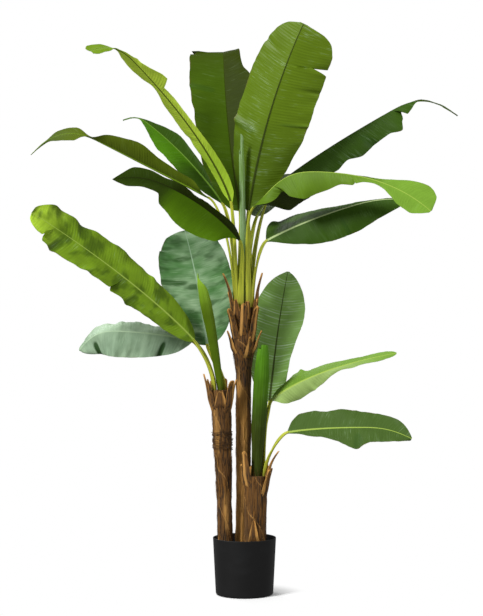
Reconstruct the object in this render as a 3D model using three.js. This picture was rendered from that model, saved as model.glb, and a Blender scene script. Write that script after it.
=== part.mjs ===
// An artificial banana plant in a round nursery pot: three fibre-wrapped trunks of different heights, each
// with the cut stubs of old leaf sheaths, a bundle of leaf stalks, broad leaves and one leaf still rolled up.
// Millimetres and degrees, +Z up, the origin at the centre of the pot's underside, the front towards -Y.
// Headings turn round +Z: 0 is +X (right), 90 is +Y (back), 180 is left and 270 is the front.
import * as THREE from 'three';

// ---------------------------------------------------------------- driving dimensions

const SEAT_GAP = 0.3; // left between pieces that rest on each other

const POT = { height: 178, rimRadius: 99, footRadius: 90, wall: 2.6, edge: 6, floor: 5, sides: 48 };
const FILL = { top: 150, clearance: 0.3 };

// Each trunk stands at `foot` on the fill and its top is off by `lean`. Its sections are [height, radius], and
// its stalks stand on the flat top in a ring of radius stalkRing.
const TRUNKS = {
  top: {
    foot: [-4, 32], lean: [2, 0], stalkRing: 28,
    sections: [[150, 26], [250, 24], [690, 25], [735, 31], [775, 39], [830, 38], [905, 34]],
  },
  left: {
    foot: [-59, -6], lean: [-15, -2], stalkRing: 23,
    sections: [[150, 25], [300, 24], [450, 29], [545, 31], [610, 34], [640, 33]],
  },
  right: {
    foot: [33, -24], lean: [3, 0], stalkRing: 27,
    sections: [[150, 37], [215, 35], [300, 36], [373, 35]],
  },
};
const TRUNK_SIDES = 16;

// Stubs of old sheaths: `at` is the heading of the stub on its trunk, `root` the height where it leaves the
// trunk, and `flare` its final lean away from the trunk.
const SHEATHS = [
  { name: 'top_1', trunk: 'top', at: 188, root: 868, length: 142, width: 30, flare: 24 },
  { name: 'top_2', trunk: 'top', at: 226, root: 785, length: 115, width: 28, flare: 28 },
  { name: 'top_3', trunk: 'top', at: 352, root: 868, length: 140, width: 30, flare: 17 },
  { name: 'top_4', trunk: 'top', at: 316, root: 780, length: 125, width: 30, flare: 16 },
  { name: 'top_5', trunk: 'top', at: 270, root: 800, length: 112, width: 26, flare: 9 },
  { name: 'top_6', trunk: 'top', at: 92, root: 850, length: 130, width: 36, flare: 22 },
  { name: 'top_7', trunk: 'top', at: 140, root: 782, length: 115, width: 30, flare: 24 },
  { name: 'left_1', trunk: 'left', at: 185, root: 560, length: 132, width: 26, flare: 16 },
  { name: 'left_2', trunk: 'left', at: 318, root: 560, length: 112, width: 34, flare: 12 },
  { name: 'left_3', trunk: 'left', at: 80, root: 575, length: 105, width: 32, flare: 18 },
  { name: 'right_1', trunk: 'right', at: 352, root: 345, length: 112, width: 30, flare: 36 },
  { name: 'right_2', trunk: 'right', at: 215, root: 330, length: 122, width: 38, flare: 8 },
  { name: 'right_3', trunk: 'right', at: 58, root: 315, length: 95, width: 30, flare: 34 },
];
const SHEATH = { thickness: 5, tipThickness: 3.5, tipWidth: 0.55, hug: 0.3, gap: 0.8, steps: 5 };

// Leaves. The stalk runs from the trunk's flat top, at the heading `seat` round it, to `base`, where the blade
// begins.
//   heading, rise   direction of the midrib at the base; by the tip it has sunk by droop and turned by swing.
//                   `bend` is how late the droop comes: 1 is even, under 1 is mostly near the base
//   nod             a further sinking that comes between the shares `nodFrom` and `nodTo` of the length
//   length, width   of the flat blade; `blunt` is how full its tip is and `widest` where it is widest
//   left, right     in place of a width, the halves of a torn or uneven blade: [share of the length, half width]
//   roll, twist     turn of the blade about its midrib at the base, and what is added by the tip; a positive
//                   turn lifts the half on the left of someone looking along the leaf
//   fold, foldTip   [left, right] lift of each half from flat before and after `foldChange`
const LEAVES = [
  { name: 'top_upright_right', trunk: 'top', seat: 9, base: [12, 10, 1200], heading: 315, rise: 78,
    droop: 15, swing: 22, length: 608, roll: -65, twist: -18, fold: [20, 20], finish: 'bright',
    left: [[0, 5], [0.1, 52], [0.25, 96], [0.5, 128], [0.88, 128], [0.95, 110], [0.985, 76], [1, 12]],
    right: [[0, 5], [0.1, 55], [0.3, 108], [0.5, 122], [0.84, 106], [0.92, 88], [0.975, 56], [1, 12]] },
  { name: 'top_upright_back', trunk: 'top', seat: 117, base: [-14, 60, 1205], heading: 122, rise: 73,
    droop: 4, nod: 125, nodFrom: 0.72, swing: -34, length: 690, width: 232, roll: -32, twist: 34,
    fold: [18, 18], foldTip: [2, 12], foldChange: [0.5, 0.76], blunt: 3.5, widest: 0.5, finish: 'deep' },
  { name: 'top_left_high', trunk: 'top', seat: 213, base: [-42, -8, 1228], heading: 208, rise: 79,
    droop: 42, bend: 0.38, nod: 58, nodFrom: 0.76, length: 696, roll: 16, twist: -8, fold: [6, 6],
    foldTip: [-34, 34], foldChange: [0.82, 0.93], finish: 'bright',
    left: [[0, 6], [0.05, 26], [0.15, 32], [0.618, 22], [0.632, 60], [0.79, 14], [0.87, 8], [0.92, 36],
    [0.98, 40], [1, 24]],
    right: [[0, 6], [0.06, 26], [0.42, 48], [0.52, 44], [0.635, 20], [0.68, 38], [0.75, 48], [0.81, 40],
    [0.87, 14], [0.92, 36], [0.98, 40], [1, 24]] },
  { name: 'top_left_long', trunk: 'top', seat: 181, base: [-112, 22, 1245], heading: 178, rise: 27,
    nod: 72, length: 632, fold: [55, 35], foldTip: [-42, 38], foldChange: [0.58, 0.74], finish: 'dark',
    left: [[0, 5], [0.1, 30], [0.3, 46], [0.42, 65], [0.52, 53], [0.6, 35], [0.67, 9], [0.75, 40],
    [0.83, 30], [0.9, 5], [1, 1.5]],
    right: [[0, 5], [0.15, 34], [0.4, 48], [0.6, 28], [0.67, 8], [0.75, 38], [0.83, 28], [0.9, 4],
    [1, 1.5]] },
  { name: 'top_left_back', trunk: 'top', seat: 149, base: [-70, 76, 1230], heading: 145, rise: 50,
    droop: 20, nod: 44, nodFrom: 0.78, length: 520, roll: -18, fold: [5, 35], foldTip: [5, 25],
    finish: 'deep',
    left: [[0, 5], [0.15, 55], [0.35, 78], [0.5, 76], [0.65, 54], [0.86, 7], [1, 1.5]],
    right: [[0, 5], [0.1, 22], [0.56, 42], [0.86, 5], [1, 1.5]] },
  { name: 'top_left_front', trunk: 'top', seat: 249, base: [-14, -28, 1107], heading: 216, rise: 49,
    droop: 40, bend: 0.6, nod: 20, length: 512, fold: [0, -58], foldTip: [46, -46],
    foldChange: [0.45, 0.66], finish: 'deep',
    left: [[0, 5], [0.15, 40], [0.35, 45], [0.55, 36], [0.66, 24], [0.87, 38], [1, 3]],
    right: [[0, 5], [0.1, 60], [0.25, 90], [0.38, 96], [0.59, 64], [0.64, 36], [0.87, 34], [1, 3]] },
  { name: 'top_right_long', trunk: 'top', seat: 43, base: [98, 52, 1285], heading: 8, rise: 42, droop: 15,
    bend: 0.4, nod: 62, nodFrom: 0.65, length: 685, fold: [-20, -75], foldTip: [-10, -50], finish: 'dark',
    left: [[0, 5], [0.12, 50], [0.4, 60], [0.65, 40], [0.79, 4], [1, 1.5]],
    right: [[0, 5], [0.06, 40], [0.14, 66], [0.28, 80], [0.34, 68], [0.42, 84], [0.58, 70], [0.64, 84],
    [0.672, 52], [0.7, 47], [0.79, 6], [1, 1.5]] },
  { name: 'top_right_back', trunk: 'top', seat: 80, base: [40, 105, 1190], heading: 62, rise: 40,
    droop: 30, nod: 20, length: 430, width: 150, fold: [6, 6], blunt: 1.8, finish: 'deep' },
  { name: 'top_right_front', trunk: 'top', seat: 303, base: [26, -38, 1209], heading: 340, rise: 45,
    droop: 48, bend: 1.8, nod: 39, nodFrom: 0.1, nodTo: 0.38, length: 632, roll: 5, twist: 40,
    fold: [-64, -66], foldTip: [0, 0], finish: 'fresh',
    left: [[0, 5], [0.05, 60], [0.12, 100], [0.28, 106], [0.6, 22], [0.68, 18], [0.75, 34], [0.83, 64],
    [0.9, 80], [0.96, 62], [1, 8]],
    right: [[0, 5], [0.04, 34], [0.16, 34], [0.2, 62], [0.26, 78], [0.33, 86], [0.53, 36], [0.58, 34],
    [0.64, 18], [0.69, 15], [0.74, 22], [0.87, 62], [0.93, 60], [0.97, 36], [1, 8]] },
  { name: 'top_right_low', trunk: 'top', seat: 336, base: [69, 8, 1108], heading: 350, rise: 32, droop: 20,
    bend: 0.5, nod: 16, length: 470, roll: 52, fold: [-26, -26], finish: 'dark',
    left: [[0, 6], [0.04, 60], [0.09, 102], [0.18, 98], [0.5, 44], [1, 2]],
    right: [[0, 6], [0.2, 60], [0.32, 80], [0.45, 89], [0.57, 87], [0.7, 74], [0.93, 28], [1, 3]] },
  { name: 'left_long', trunk: 'left', seat: 200, base: [-158, -20, 796], heading: 195, rise: 49, droop: 17,
    bend: 0.5, length: 642, width: 176, roll: -50, fold: [2, 2], blunt: 3, finish: 'bright' },
  { name: 'left_low', trunk: 'left', seat: 150, base: [-164, 19, 792], heading: 172, rise: 18, droop: 20,
    bend: 0.5, nod: 50, length: 390, width: 168, roll: -50, fold: [-30, -30], blunt: 2, widest: 0.6,
    finish: 'blue' },
  { name: 'left_back', trunk: 'left', seat: 75, base: [-118, 52, 779], heading: 105, rise: 60, droop: 20,
    length: 495, width: 232, roll: -15, fold: [4, 4], blunt: 2.4, widest: 0.5, finish: 'blue' },
  { name: 'right_back', trunk: 'right', seat: 75, base: [80, 62, 598], heading: 66, rise: 77, droop: 14,
    length: 445, roll: 24, fold: [6, 6], finish: 'fresh',
    left: [[0, 5], [0.12, 55], [0.3, 80], [0.5, 88], [0.7, 82], [0.82, 67], [0.92, 42], [1, 3]],
    right: [[0, 5], [0.1, 42], [0.3, 50], [0.6, 76], [0.7, 77], [0.8, 68], [0.9, 48], [0.97, 22], [1, 3]] },
  { name: 'right_middle', trunk: 'right', seat: 40, base: [84, -2, 606], heading: 350, rise: 58, droop: 48,
    bend: 0.3, length: 425, roll: 30, fold: [-10, -66], foldTip: [-10, -12], finish: 'fresh',
    left: [[0, 5], [0.1, 50], [0.22, 94], [0.27, 90], [0.32, 72], [0.6, 40], [0.92, 26], [1, 3]],
    right: [[0, 5], [0.06, 34], [0.2, 50], [0.58, 13], [0.84, 19], [0.98, 10], [1, 3]] },
  { name: 'right_low', trunk: 'right', seat: 340, base: [133, -45, 510], heading: 345, rise: 12, droop: 14,
    bend: 0.5, nod: 22, length: 395, roll: 42, fold: [8, 8], finish: 'deep',
    left: [[0, 5], [0.03, 45], [0.09, 66], [0.2, 72], [0.28, 64], [0.4, 70], [0.75, 54], [0.86, 42],
    [0.94, 24], [1, 2]],
    right: [[0, 5], [0.3, 42], [0.57, 100], [0.7, 68], [0.9, 38], [1, 2]] },
];
const LEVEL = {
  droop: 0, bend: 1, nod: 0, nodFrom: 0.6, nodTo: 1, swing: 0, roll: 0, twist: 0, widest: 0.45,
  foldChange: [0.35, 0.85],
};

// How full the outline is before the widest place, the half width it starts with, the thickness at the midrib
// and in the skin, the half width over which both thin out, and the number of sections.
const BLADE = {
  baseFullness: 2, startHalf: 5, tipHalf: 1.5, ribThickness: 5, skin: 2.4, thinBelow: 20, sections: 18,
};
const OPENING = 0.12; // share of the length over which the halves open from the stalk
const STALK = { footRadius: 7.6, baseRadius: 4.6, sides: 6, sections: 7, upright: 0.4, arrive: 0.14 };

// Leaves still rolled up. `tip` is the centre of the top, and sections are [share of the height, radius].
const ROLLED = [
  { name: 'top', trunk: 'top', tip: [-11, -22, 1440],
    sections: [[0, 13], [0.35, 12], [0.6, 10], [0.85, 9], [1, 7]] },
  { name: 'left', trunk: 'left', tip: [-141, -24, 1005],
    sections: [[0, 11], [0.15, 12], [0.4, 16], [0.6, 19], [0.75, 20], [0.9, 15], [1, 6]] },
  { name: 'right', trunk: 'right', tip: [58, -26, 782],
    sections: [[0, 18], [0.2, 20], [0.38, 26], [0.75, 27], [0.92, 22], [1, 15]] },
];
const ROLLED_SIDES = 12;
const ROLLED_BOW = 0.15; // how far the middle of a rolled leaf stays behind the straight line to its tip

const FINISHES = {
  pot: { color: 0x26272a, roughness: 0.55 },
  fill: { color: 0x1f1c19, roughness: 0.95 },
  husk: { color: 0x7a5430, roughness: 0.9 },
  stalk: { color: 0xa3ad3f, roughness: 0.5 },
  bright: { color: 0x86ad2a, roughness: 0.45 },
  fresh: { color: 0x6f9f38, roughness: 0.45 },
  deep: { color: 0x456f24, roughness: 0.45 },
  dark: { color: 0x2f4c1d, roughness: 0.45 },
  blue: { color: 0x55805a, roughness: 0.4 },
};

// ---------------------------------------------------------------- helpers

const UP = new THREE.Vector3(0, 0, 1);
const BACK = new THREE.Vector3(0, 1, 0);
const { degToRad: radians, lerp, smoothstep } = THREE.MathUtils;
const vector = ([x, y, z]) => new THREE.Vector3(x, y, z);

/** The unit vector with a given heading and rise, both in degrees. */
function direction(heading, rise) {
  const [turn, climb] = [radians(heading), radians(rise)];
  return vector([Math.cos(climb) * Math.cos(turn), Math.cos(climb) * Math.sin(turn), Math.sin(climb)]);
}

/**
 * A closed solid through equal closed rings of points that turn anticlockwise seen from the far end. The second
 * half of each ring has its diagonals the other way, so the two skins of a thin plate bend alike.
 */
function loft(rings) {
  const count = rings[0].length;
  const faces = [];
  for (let r = 0; r < rings.length - 1; r += 1) {
    for (let i = 0; i < count; i += 1) {
      const j = (i + 1) % count;
      const [a, b, c, d] = [r * count + i, r * count + j, (r + 1) * count + j, (r + 1) * count + i];
      faces.push(...(i < count / 2 ? [a, b, c, a, c, d] : [a, b, d, b, c, d]));
    }
  }
  const last = (rings.length - 1) * count;
  for (let i = 1; i < count - 1; i += 1) {
    faces.push(0, i + 1, i);
    faces.push(last, last + i, last + i + 1);
  }
  return new THREE.BufferGeometry().setFromPoints(rings.flat()).setIndex(faces);
}

/** A ring of points round a centre, across the given axis. It starts at the back, so rings in a row line up. */
function ring(centre, axis, radius, sides) {
  const across = BACK.clone().projectOnPlane(axis).normalize();
  const other = new THREE.Vector3().crossVectors(axis, across).normalize();
  return Array.from({ length: sides }, (_, i) => {
    const angle = (2 * Math.PI * i) / sides;
    return centre.clone()
      .addScaledVector(across, radius * Math.cos(angle))
      .addScaledVector(other, radius * Math.sin(angle));
  });
}

/** A value read from rows of [place, value], straight between the rows. */
function read(rows, place) {
  const next = Math.max(1, rows.findIndex(([p]) => p >= place));
  const [[p0, v0], [p1, v1]] = [rows[next - 1], rows[next]];
  return lerp(v0, v1, (place - p0) / (p1 - p0));
}

/** A turned solid about the Z axis from [radius, height] points that start and end on it. */
function turned(profile) {
  const points = profile.map(([r, z]) => new THREE.Vector2(r, z));
  return new THREE.LatheGeometry(points, POT.sides).rotateX(Math.PI / 2);
}

// ---------------------------------------------------------------- pot and trunks

const potRadius = (z) => lerp(POT.footRadius, POT.rimRadius, z / POT.height);

function pot() {
  const { height, wall, edge, floor } = POT;
  const rounding = edge * (1 - Math.SQRT1_2);
  return turned([
    [0, 0], [potRadius(0) - edge, 0], [potRadius(rounding) - rounding, rounding], [potRadius(edge), edge],
    [potRadius(height), height], [potRadius(height) - wall, height],
    [potRadius(floor) - wall, floor], [0, floor],
  ]);
}

function potFill() {
  const foot = POT.floor + SEAT_GAP;
  const inner = (z) => potRadius(z) - POT.wall - FILL.clearance;
  return turned([[0, foot], [inner(foot), foot], [inner(FILL.top), FILL.top], [0, FILL.top]]);
}

const trunkTop = (trunk) => trunk.sections.at(-1)[0];

/** The trunk's centre at a height. */
function trunkCentre(trunk, z) {
  const share = (z - FILL.top) / (trunkTop(trunk) - FILL.top);
  return vector([trunk.foot[0] + trunk.lean[0] * share, trunk.foot[1] + trunk.lean[1] * share, z]);
}

/** A trunk in the frame of its foot, which stands just clear of the fill. */
function trunkBody(trunk) {
  const foot = trunkCentre(trunk, FILL.top);
  return loft(trunk.sections.map(([z, radius], i) => {
    const centre = trunkCentre(trunk, z).sub(foot);
    return ring(i === 0 ? centre.setZ(SEAT_GAP) : centre, UP, radius, TRUNK_SIDES);
  }));
}

/** A cut sheath along +X: a bowed plate that hugs the trunk at its root and leans away towards its tip. */
function sheath({ trunk: trunkName, at, root, length, width, flare }) {
  const trunk = TRUNKS[trunkName];
  const { thickness, tipThickness, tipWidth, hug, gap, steps } = SHEATH;
  const step = length / steps;
  const rings = [];
  let z = root;
  let reach = 0;
  for (let i = 0; i <= steps; i += 1) {
    const t = i / steps;
    const level = Math.min(z, trunkTop(trunk));
    const drift = trunkCentre(trunk, level).sub(trunkCentre(trunk, root)).applyAxisAngle(UP, -radians(at));
    if (level === z) reach = Math.max(reach, read(trunk.sections, z) + gap);
    const half = (width / 2) * lerp(1, tipWidth, t);
    const bow = (half / read(trunk.sections, root)) * lerp(1, 0.5, t); // half the angle that it wraps round
    const inside = half / bow;
    const outside = inside + lerp(thickness, tipThickness, t);
    const centre = vector([drift.x + reach - inside, drift.y, z - root]);
    const edge = (side, radius) => centre.clone().addScaledVector(
      vector([Math.cos(side * bow), Math.sin(side * bow), 0]), radius);
    const sides = [-1, -1 / 3, 1 / 3, 1];
    const back = sides.toReversed();
    rings.push([...sides.map((side) => edge(side, outside)), ...back.map((side) => edge(side, inside))]);
    const lean = radians(flare * smoothstep(t, 0, 1));
    if (t >= hug) reach += step * Math.sin(lean);
    z += step * Math.cos(lean);
  }
  return loft(rings);
}

// ---------------------------------------------------------------- leaves

/** The share of a blade's length at a share of its stations, which stand closest together at both ends. */
const spaced = (share) => (1 - Math.cos(Math.PI * share)) / 2;

/** Stations along a midrib that starts at the origin along +X: {t, point, side, up}. */
function midrib(leaf, count) {
  const { rise, droop, bend, nod, nodFrom, nodTo, swing, roll, twist, length } = leaf;
  const substeps = 8;
  const steps = substeps * (count - 1);
  const stations = [];
  const point = new THREE.Vector3();
  for (let i = 0; i <= steps; i += 1) {
    const t = spaced(i / steps);
    const along = direction(swing * t, rise - droop * t ** bend - nod * smoothstep(t, nodFrom, nodTo));
    if (i % substeps === 0) {
      const side = direction(swing * t + 90, 0).applyAxisAngle(along, radians(roll + twist * t));
      stations.push({ t, point: point.clone(), side, up: along.clone().cross(side) });
    }
    point.addScaledVector(along, length * (spaced((i + 1) / steps) - t));
  }
  return stations;
}

/** Half the width of the flat blade at a share t of its length, on the half that `across` is on. */
function halfWidth({ width, widest, blunt, left, right }, t, across) {
  if (left) return read(across > 0 ? left : right, t);
  const u = t < widest ? 1 - t / widest : (t - widest) / (1 - widest);
  const fullness = t < widest ? BLADE.baseFullness : blunt;
  const outline = (width / 2) * (1 - u ** fullness) ** (1 / fullness);
  return Math.max(BLADE.startHalf * (1 - t), outline, BLADE.tipHalf);
}

/**
 * A point of the blade: across runs from -1 at the right edge to 1 at the left edge, and lift is the distance
 * from the middle surface, square to the half that the point is on.
 */
function bladePoint(leaf, { t, point, side, up }, across, lift) {
  const which = across > 0 ? 0 : 1;
  const before = leaf.fold[which];
  const after = leaf.foldTip?.[which] ?? before;
  const opened = across === 0 || t === 1 ? 0 : smoothstep(t, 0, OPENING); // the midrib and the tip stay flat
  const fold = radians(lerp(before, after, smoothstep(t, ...leaf.foldChange)) * opened);
  const reach = halfWidth(leaf, t, across) * Math.abs(across);
  return point.clone()
    .addScaledVector(side, Math.sign(across) * (reach * Math.cos(fold) - lift * Math.sin(fold)))
    .addScaledVector(up, reach * Math.sin(fold) + lift * Math.cos(fold));
}

/** A leaf blade in a frame at its base, with its heading along +X. */
function blade(leaf) {
  return loft(midrib(leaf, BLADE.sections).map((station) => {
    const thinning = (across) => Math.min(1, halfWidth(leaf, station.t, across) / BLADE.thinBelow) / 2;
    const [rightSkin, leftSkin] = [BLADE.skin * thinning(-1), BLADE.skin * thinning(1)];
    const rib = BLADE.ribThickness * Math.min(thinning(-1), thinning(1));
    const at = (across, lift) => bladePoint(leaf, station, across, lift);
    return [
      at(-1, 0), at(-0.5, -rightSkin), at(0, -rib), at(0.5, -leftSkin),
      at(1, 0), at(0.5, leftSkin), at(0, rib), at(-0.5, rightSkin),
    ];
  }));
}

/** Where a leaf's stalk stands on the flat top of its trunk. */
function stalkFoot({ trunk: trunkName, seat }) {
  const trunk = TRUNKS[trunkName];
  return trunkCentre(trunk, trunkTop(trunk) + SEAT_GAP).addScaledVector(direction(seat, 0), trunk.stalkRing);
}

/** A stalk in the frame of its foot: upright there, and in line with the midrib at the blade. */
function stalk(leaf) {
  const along = direction(leaf.heading, leaf.rise);
  const end = vector(leaf.base).addScaledVector(along, -SEAT_GAP).sub(stalkFoot(leaf));
  const span = end.length();
  const curve = new THREE.CubicBezierCurve3(
    new THREE.Vector3(), UP.clone().multiplyScalar(span * STALK.upright),
    end.clone().addScaledVector(along, -span * STALK.arrive), end);
  return loft(Array.from({ length: STALK.sections + 1 }, (_, i) => {
    const t = i / STALK.sections;
    const radius = lerp(STALK.footRadius, STALK.baseRadius, t);
    return ring(curve.getPoint(t), curve.getTangent(t), radius, STALK.sides);
  }));
}

const rolledFoot = ({ trunk: name }) => trunkCentre(TRUNKS[name], trunkTop(TRUNKS[name]) + SEAT_GAP);

/** A rolled leaf in the frame of its foot. */
function rolledLeaf(leaf) {
  const end = vector(leaf.tip).sub(rolledFoot(leaf));
  const middle = end.clone().multiplyScalar(0.5);
  middle.x -= end.x * ROLLED_BOW;
  const curve = new THREE.QuadraticBezierCurve3(new THREE.Vector3(), middle, end);
  return loft(leaf.sections.map(([share, radius]) => ring(curve.getPoint(share), UP, radius, ROLLED_SIDES)));
}

// ---------------------------------------------------------------- the plant

/** A named mesh of one finish, placed by its position and its turn round Z. */
function piece(name, geometry, finish, position = new THREE.Vector3(), heading = 0) {
  const mesh = new THREE.Mesh(geometry, new THREE.MeshStandardMaterial({ metalness: 0, ...FINISHES[finish] }));
  mesh.name = name;
  mesh.position.copy(position);
  mesh.rotation.z = radians(heading);
  return mesh;
}

/** One trunk with its sheath stubs, leaves and rolled leaf. */
function stem(name) {
  const trunk = TRUNKS[name];
  const group = new THREE.Group();
  group.add(piece(`trunk_${name}`, trunkBody(trunk), 'husk', trunkCentre(trunk, FILL.top)));
  for (const stub of SHEATHS.filter((entry) => entry.trunk === name)) {
    group.add(piece(`sheath_${stub.name}`, sheath(stub), 'husk', trunkCentre(trunk, stub.root), stub.at));
  }
  for (const entry of LEAVES.filter((candidate) => candidate.trunk === name)) {
    const leaf = { ...LEVEL, ...entry };
    group.add(piece(`stalk_${leaf.name}`, stalk(leaf), 'stalk', stalkFoot(leaf)));
    group.add(piece(`blade_${leaf.name}`, blade(leaf), leaf.finish, vector(leaf.base), leaf.heading));
  }
  for (const leaf of ROLLED.filter((entry) => entry.trunk === name)) {
    group.add(piece(`rolled_leaf_${leaf.name}`, rolledLeaf(leaf), 'fresh', rolledFoot(leaf)));
  }
  return group;
}

const plant = new THREE.Group();
plant.add(piece('pot', pot(), 'pot'), piece('pot_fill', potFill(), 'fill'));
plant.add(...Object.keys(TRUNKS).map(stem));

export default plant;
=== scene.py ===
"""Looks of an artificial banana plant in a round pot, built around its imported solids.

Metres and degrees, +Z up, the origin at the centre of the pot's underside, the front towards -Y. Headings
turn round +Z: 0 is +X (right), 90 is +Y (back), 180 is left and 270 is the front.
"""

import logging
import math
import zlib
from dataclasses import dataclass, field
from enum import Enum
from typing import Any, Iterable, Sequence

import bpy
import numpy as np
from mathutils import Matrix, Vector

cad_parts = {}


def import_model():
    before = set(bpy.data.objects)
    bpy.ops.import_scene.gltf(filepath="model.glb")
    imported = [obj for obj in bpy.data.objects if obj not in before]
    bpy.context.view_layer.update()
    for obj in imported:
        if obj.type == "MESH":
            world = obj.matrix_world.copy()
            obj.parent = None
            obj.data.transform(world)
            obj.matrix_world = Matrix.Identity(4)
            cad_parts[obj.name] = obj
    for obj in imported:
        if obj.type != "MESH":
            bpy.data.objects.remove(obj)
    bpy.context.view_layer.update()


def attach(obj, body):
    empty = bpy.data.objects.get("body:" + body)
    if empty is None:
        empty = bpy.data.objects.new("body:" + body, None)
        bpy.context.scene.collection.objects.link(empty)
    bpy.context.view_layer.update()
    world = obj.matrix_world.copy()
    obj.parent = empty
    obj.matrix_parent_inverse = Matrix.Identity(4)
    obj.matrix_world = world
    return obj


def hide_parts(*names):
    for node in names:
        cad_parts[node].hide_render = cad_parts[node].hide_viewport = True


LOG = logging.getLogger("banana_plant")
BODY = "root"
CLEARANCE = 0.0003

Array = np.ndarray
Colour = tuple[float, float, float, float]
Point = tuple[float, float, float]
Row = tuple[float, float]

WHITE: Colour = (1.0, 1.0, 1.0, 1.0)
UP = np.array([0.0, 0.0, 1.0])

# Features for each metre across and along a leaf, in the layers of its colour: the print's tones, and painted
# sheen and painted shade.
STREAKS: Point = (26.0, 520.0, 0.0)
BANDS: Point = (9.0, 75.0, 0.0)
CLOUDS: Point = (16.0, 12.0, 0.0)
WEAR: Point = (34.0, 24.0, 0.0)
SHEETS: Point = (11.0, 17.0, 0.0)
DARK_SPOTS: Point = (13.0, 22.0, 0.0)


# ------------------------------------------------------------------ colours


def linear(code: str) -> Colour:
    """Turn a colour's hexadecimal code into linear light.

    Args:
        code: Six hexadecimal digits, red first.

    Returns:
        Red, green, blue and an alpha of 1.
    """
    parts = [int(code[i : i + 2], 16) / 255 for i in (0, 2, 4)]
    red, green, blue = (p / 12.92 if p <= 0.04045 else ((p + 0.055) / 1.055) ** 2.4 for p in parts)
    return red, green, blue, 1.0


class Green(Enum):
    """The greens of the leaves: their printed colours, with lit and shaded copies that paint light and shade,
    and a pale green of painted sheen.
    """

    YOUNG = "b4d83c"
    PALE = "d4f24e"
    # Painted light: the green of a half lit through from behind.
    TENDER = "6e9f08"
    SPRING = "88b02c"
    MEADOW = "6f962e"
    PISTACHIO = "94af62"
    MOSS = "6f8f1a"
    FERN = "6c9230"
    WILLOW = "5f7a08"
    CLOVER = "5a7a16"
    TEA = "4f6806"
    BRONZE = "596b0c"
    LEAF = "4f8210"
    IVY = "709448"
    OLIVE = "425c0c"
    FOREST = "415a22"
    BOTTLE = "33500d"
    SHADE = "313d08"
    SLATE = "4a5c2c"
    SEA = "426f38"
    MIST = "8ba688"
    # The pale green of painted sheen on the leaves; it is also one leaf's pale midrib.
    FROST = "b0c8a6"
    RIB = "9bb34c"
    RIB_PALE = "b4c68c"
    # A dark midrib that paints the shadow along its fold.
    RIB_SHADOW = "34400a"
    STEEP = "274a1c"
    DRY = "6b5a32"

    @property
    def colour(self) -> Colour:
        """The green in linear light."""
        return linear(self.value)


class Slot(Enum):
    """The names of the finish slots, of which each leaf lists one."""

    POT = "pot"
    FILL = "pot_fill"
    HUSK = "husk"
    STALK = "leaf_stalk"
    BRIGHT = "leaf_bright"
    DEEP = "leaf_deep"
    DARK = "leaf_dark"
    FRESH = "leaf_fresh"
    BLUE = "leaf_blue"


# ------------------------------------------------------------------ shaders


class Number:
    """A number in a node tree: an output socket whose operators add Math nodes."""

    def __init__(self, nodes: "Nodes", socket: bpy.types.NodeSocket) -> None:
        """Wrap a socket of one tree."""
        self.nodes = nodes
        self.socket = socket

    def maths(self, operation: str, *values: Any) -> "Number":
        """Add one Math node.

        Args:
            operation: Blender's name of the operation.
            values: Its operands, numbers or Number objects.

        Returns:
            The node's result.
        """
        node = self.nodes.node("ShaderNodeMath", {"operation": operation}, dict(enumerate(values)))
        return Number(self.nodes, node.outputs[0])

    def __add__(self, other: Any) -> "Number":
        """Self + other."""
        return self.maths("ADD", self, other)

    def __radd__(self, other: Any) -> "Number":
        """Other + self."""
        return self.maths("ADD", other, self)

    def __sub__(self, other: Any) -> "Number":
        """Self - other."""
        return self.maths("SUBTRACT", self, other)

    def __rsub__(self, other: Any) -> "Number":
        """Other - self."""
        return self.maths("SUBTRACT", other, self)

    def __mul__(self, other: Any) -> "Number":
        """Self * other."""
        return self.maths("MULTIPLY", self, other)

    def __rmul__(self, other: Any) -> "Number":
        """Other * self."""
        return self.maths("MULTIPLY", other, self)

    def __pow__(self, other: Any) -> "Number":
        """Self to the power of other."""
        return self.maths("POWER", self, other)

    def __abs__(self) -> "Number":
        """The size of self."""
        return self.maths("ABSOLUTE", self)

    def sine(self) -> "Number":
        """The sine of self, in radians."""
        return self.maths("SINE", self)

    def rising(self, low: float, high: float) -> "Number":
        """A smooth step.

        Args:
            low: The value below which the result is 0.
            high: The value above which it is 1.

        Returns:
            The step.
        """
        settings = {"interpolation_type": "SMOOTHSTEP"}
        sockets = {"Value": self, "From Min": low, "From Max": high}
        node = self.nodes.node("ShaderNodeMapRange", settings, sockets)
        return Number(self.nodes, node.outputs["Result"])


class Nodes:
    """A node tree in which one method makes every node."""

    def __init__(self, tree: bpy.types.NodeTree) -> None:
        """Wrap a tree."""
        self.tree = tree

    def node(self, kind: str, settings: dict[str, Any], sockets: dict[Any, Any]) -> bpy.types.Node:
        """Make a node.

        Args:
            kind: The node's type.
            settings: Its own properties, which are set first.
            sockets: A value, socket or Number for each input, by name, identifier or place.

        Returns:
            The node.
        """
        made = self.tree.nodes.new(kind)
        for name, value in settings.items():
            setattr(made, name, value)
        for key, value in sockets.items():
            by_identifier = {s.identifier: s for s in made.inputs}
            target = by_identifier[key] if key in by_identifier else made.inputs[key]
            value = value.socket if isinstance(value, Number) else value
            if isinstance(value, bpy.types.NodeSocket):
                self.tree.links.new(value, target)
            else:
                target.default_value = value
        return made


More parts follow.
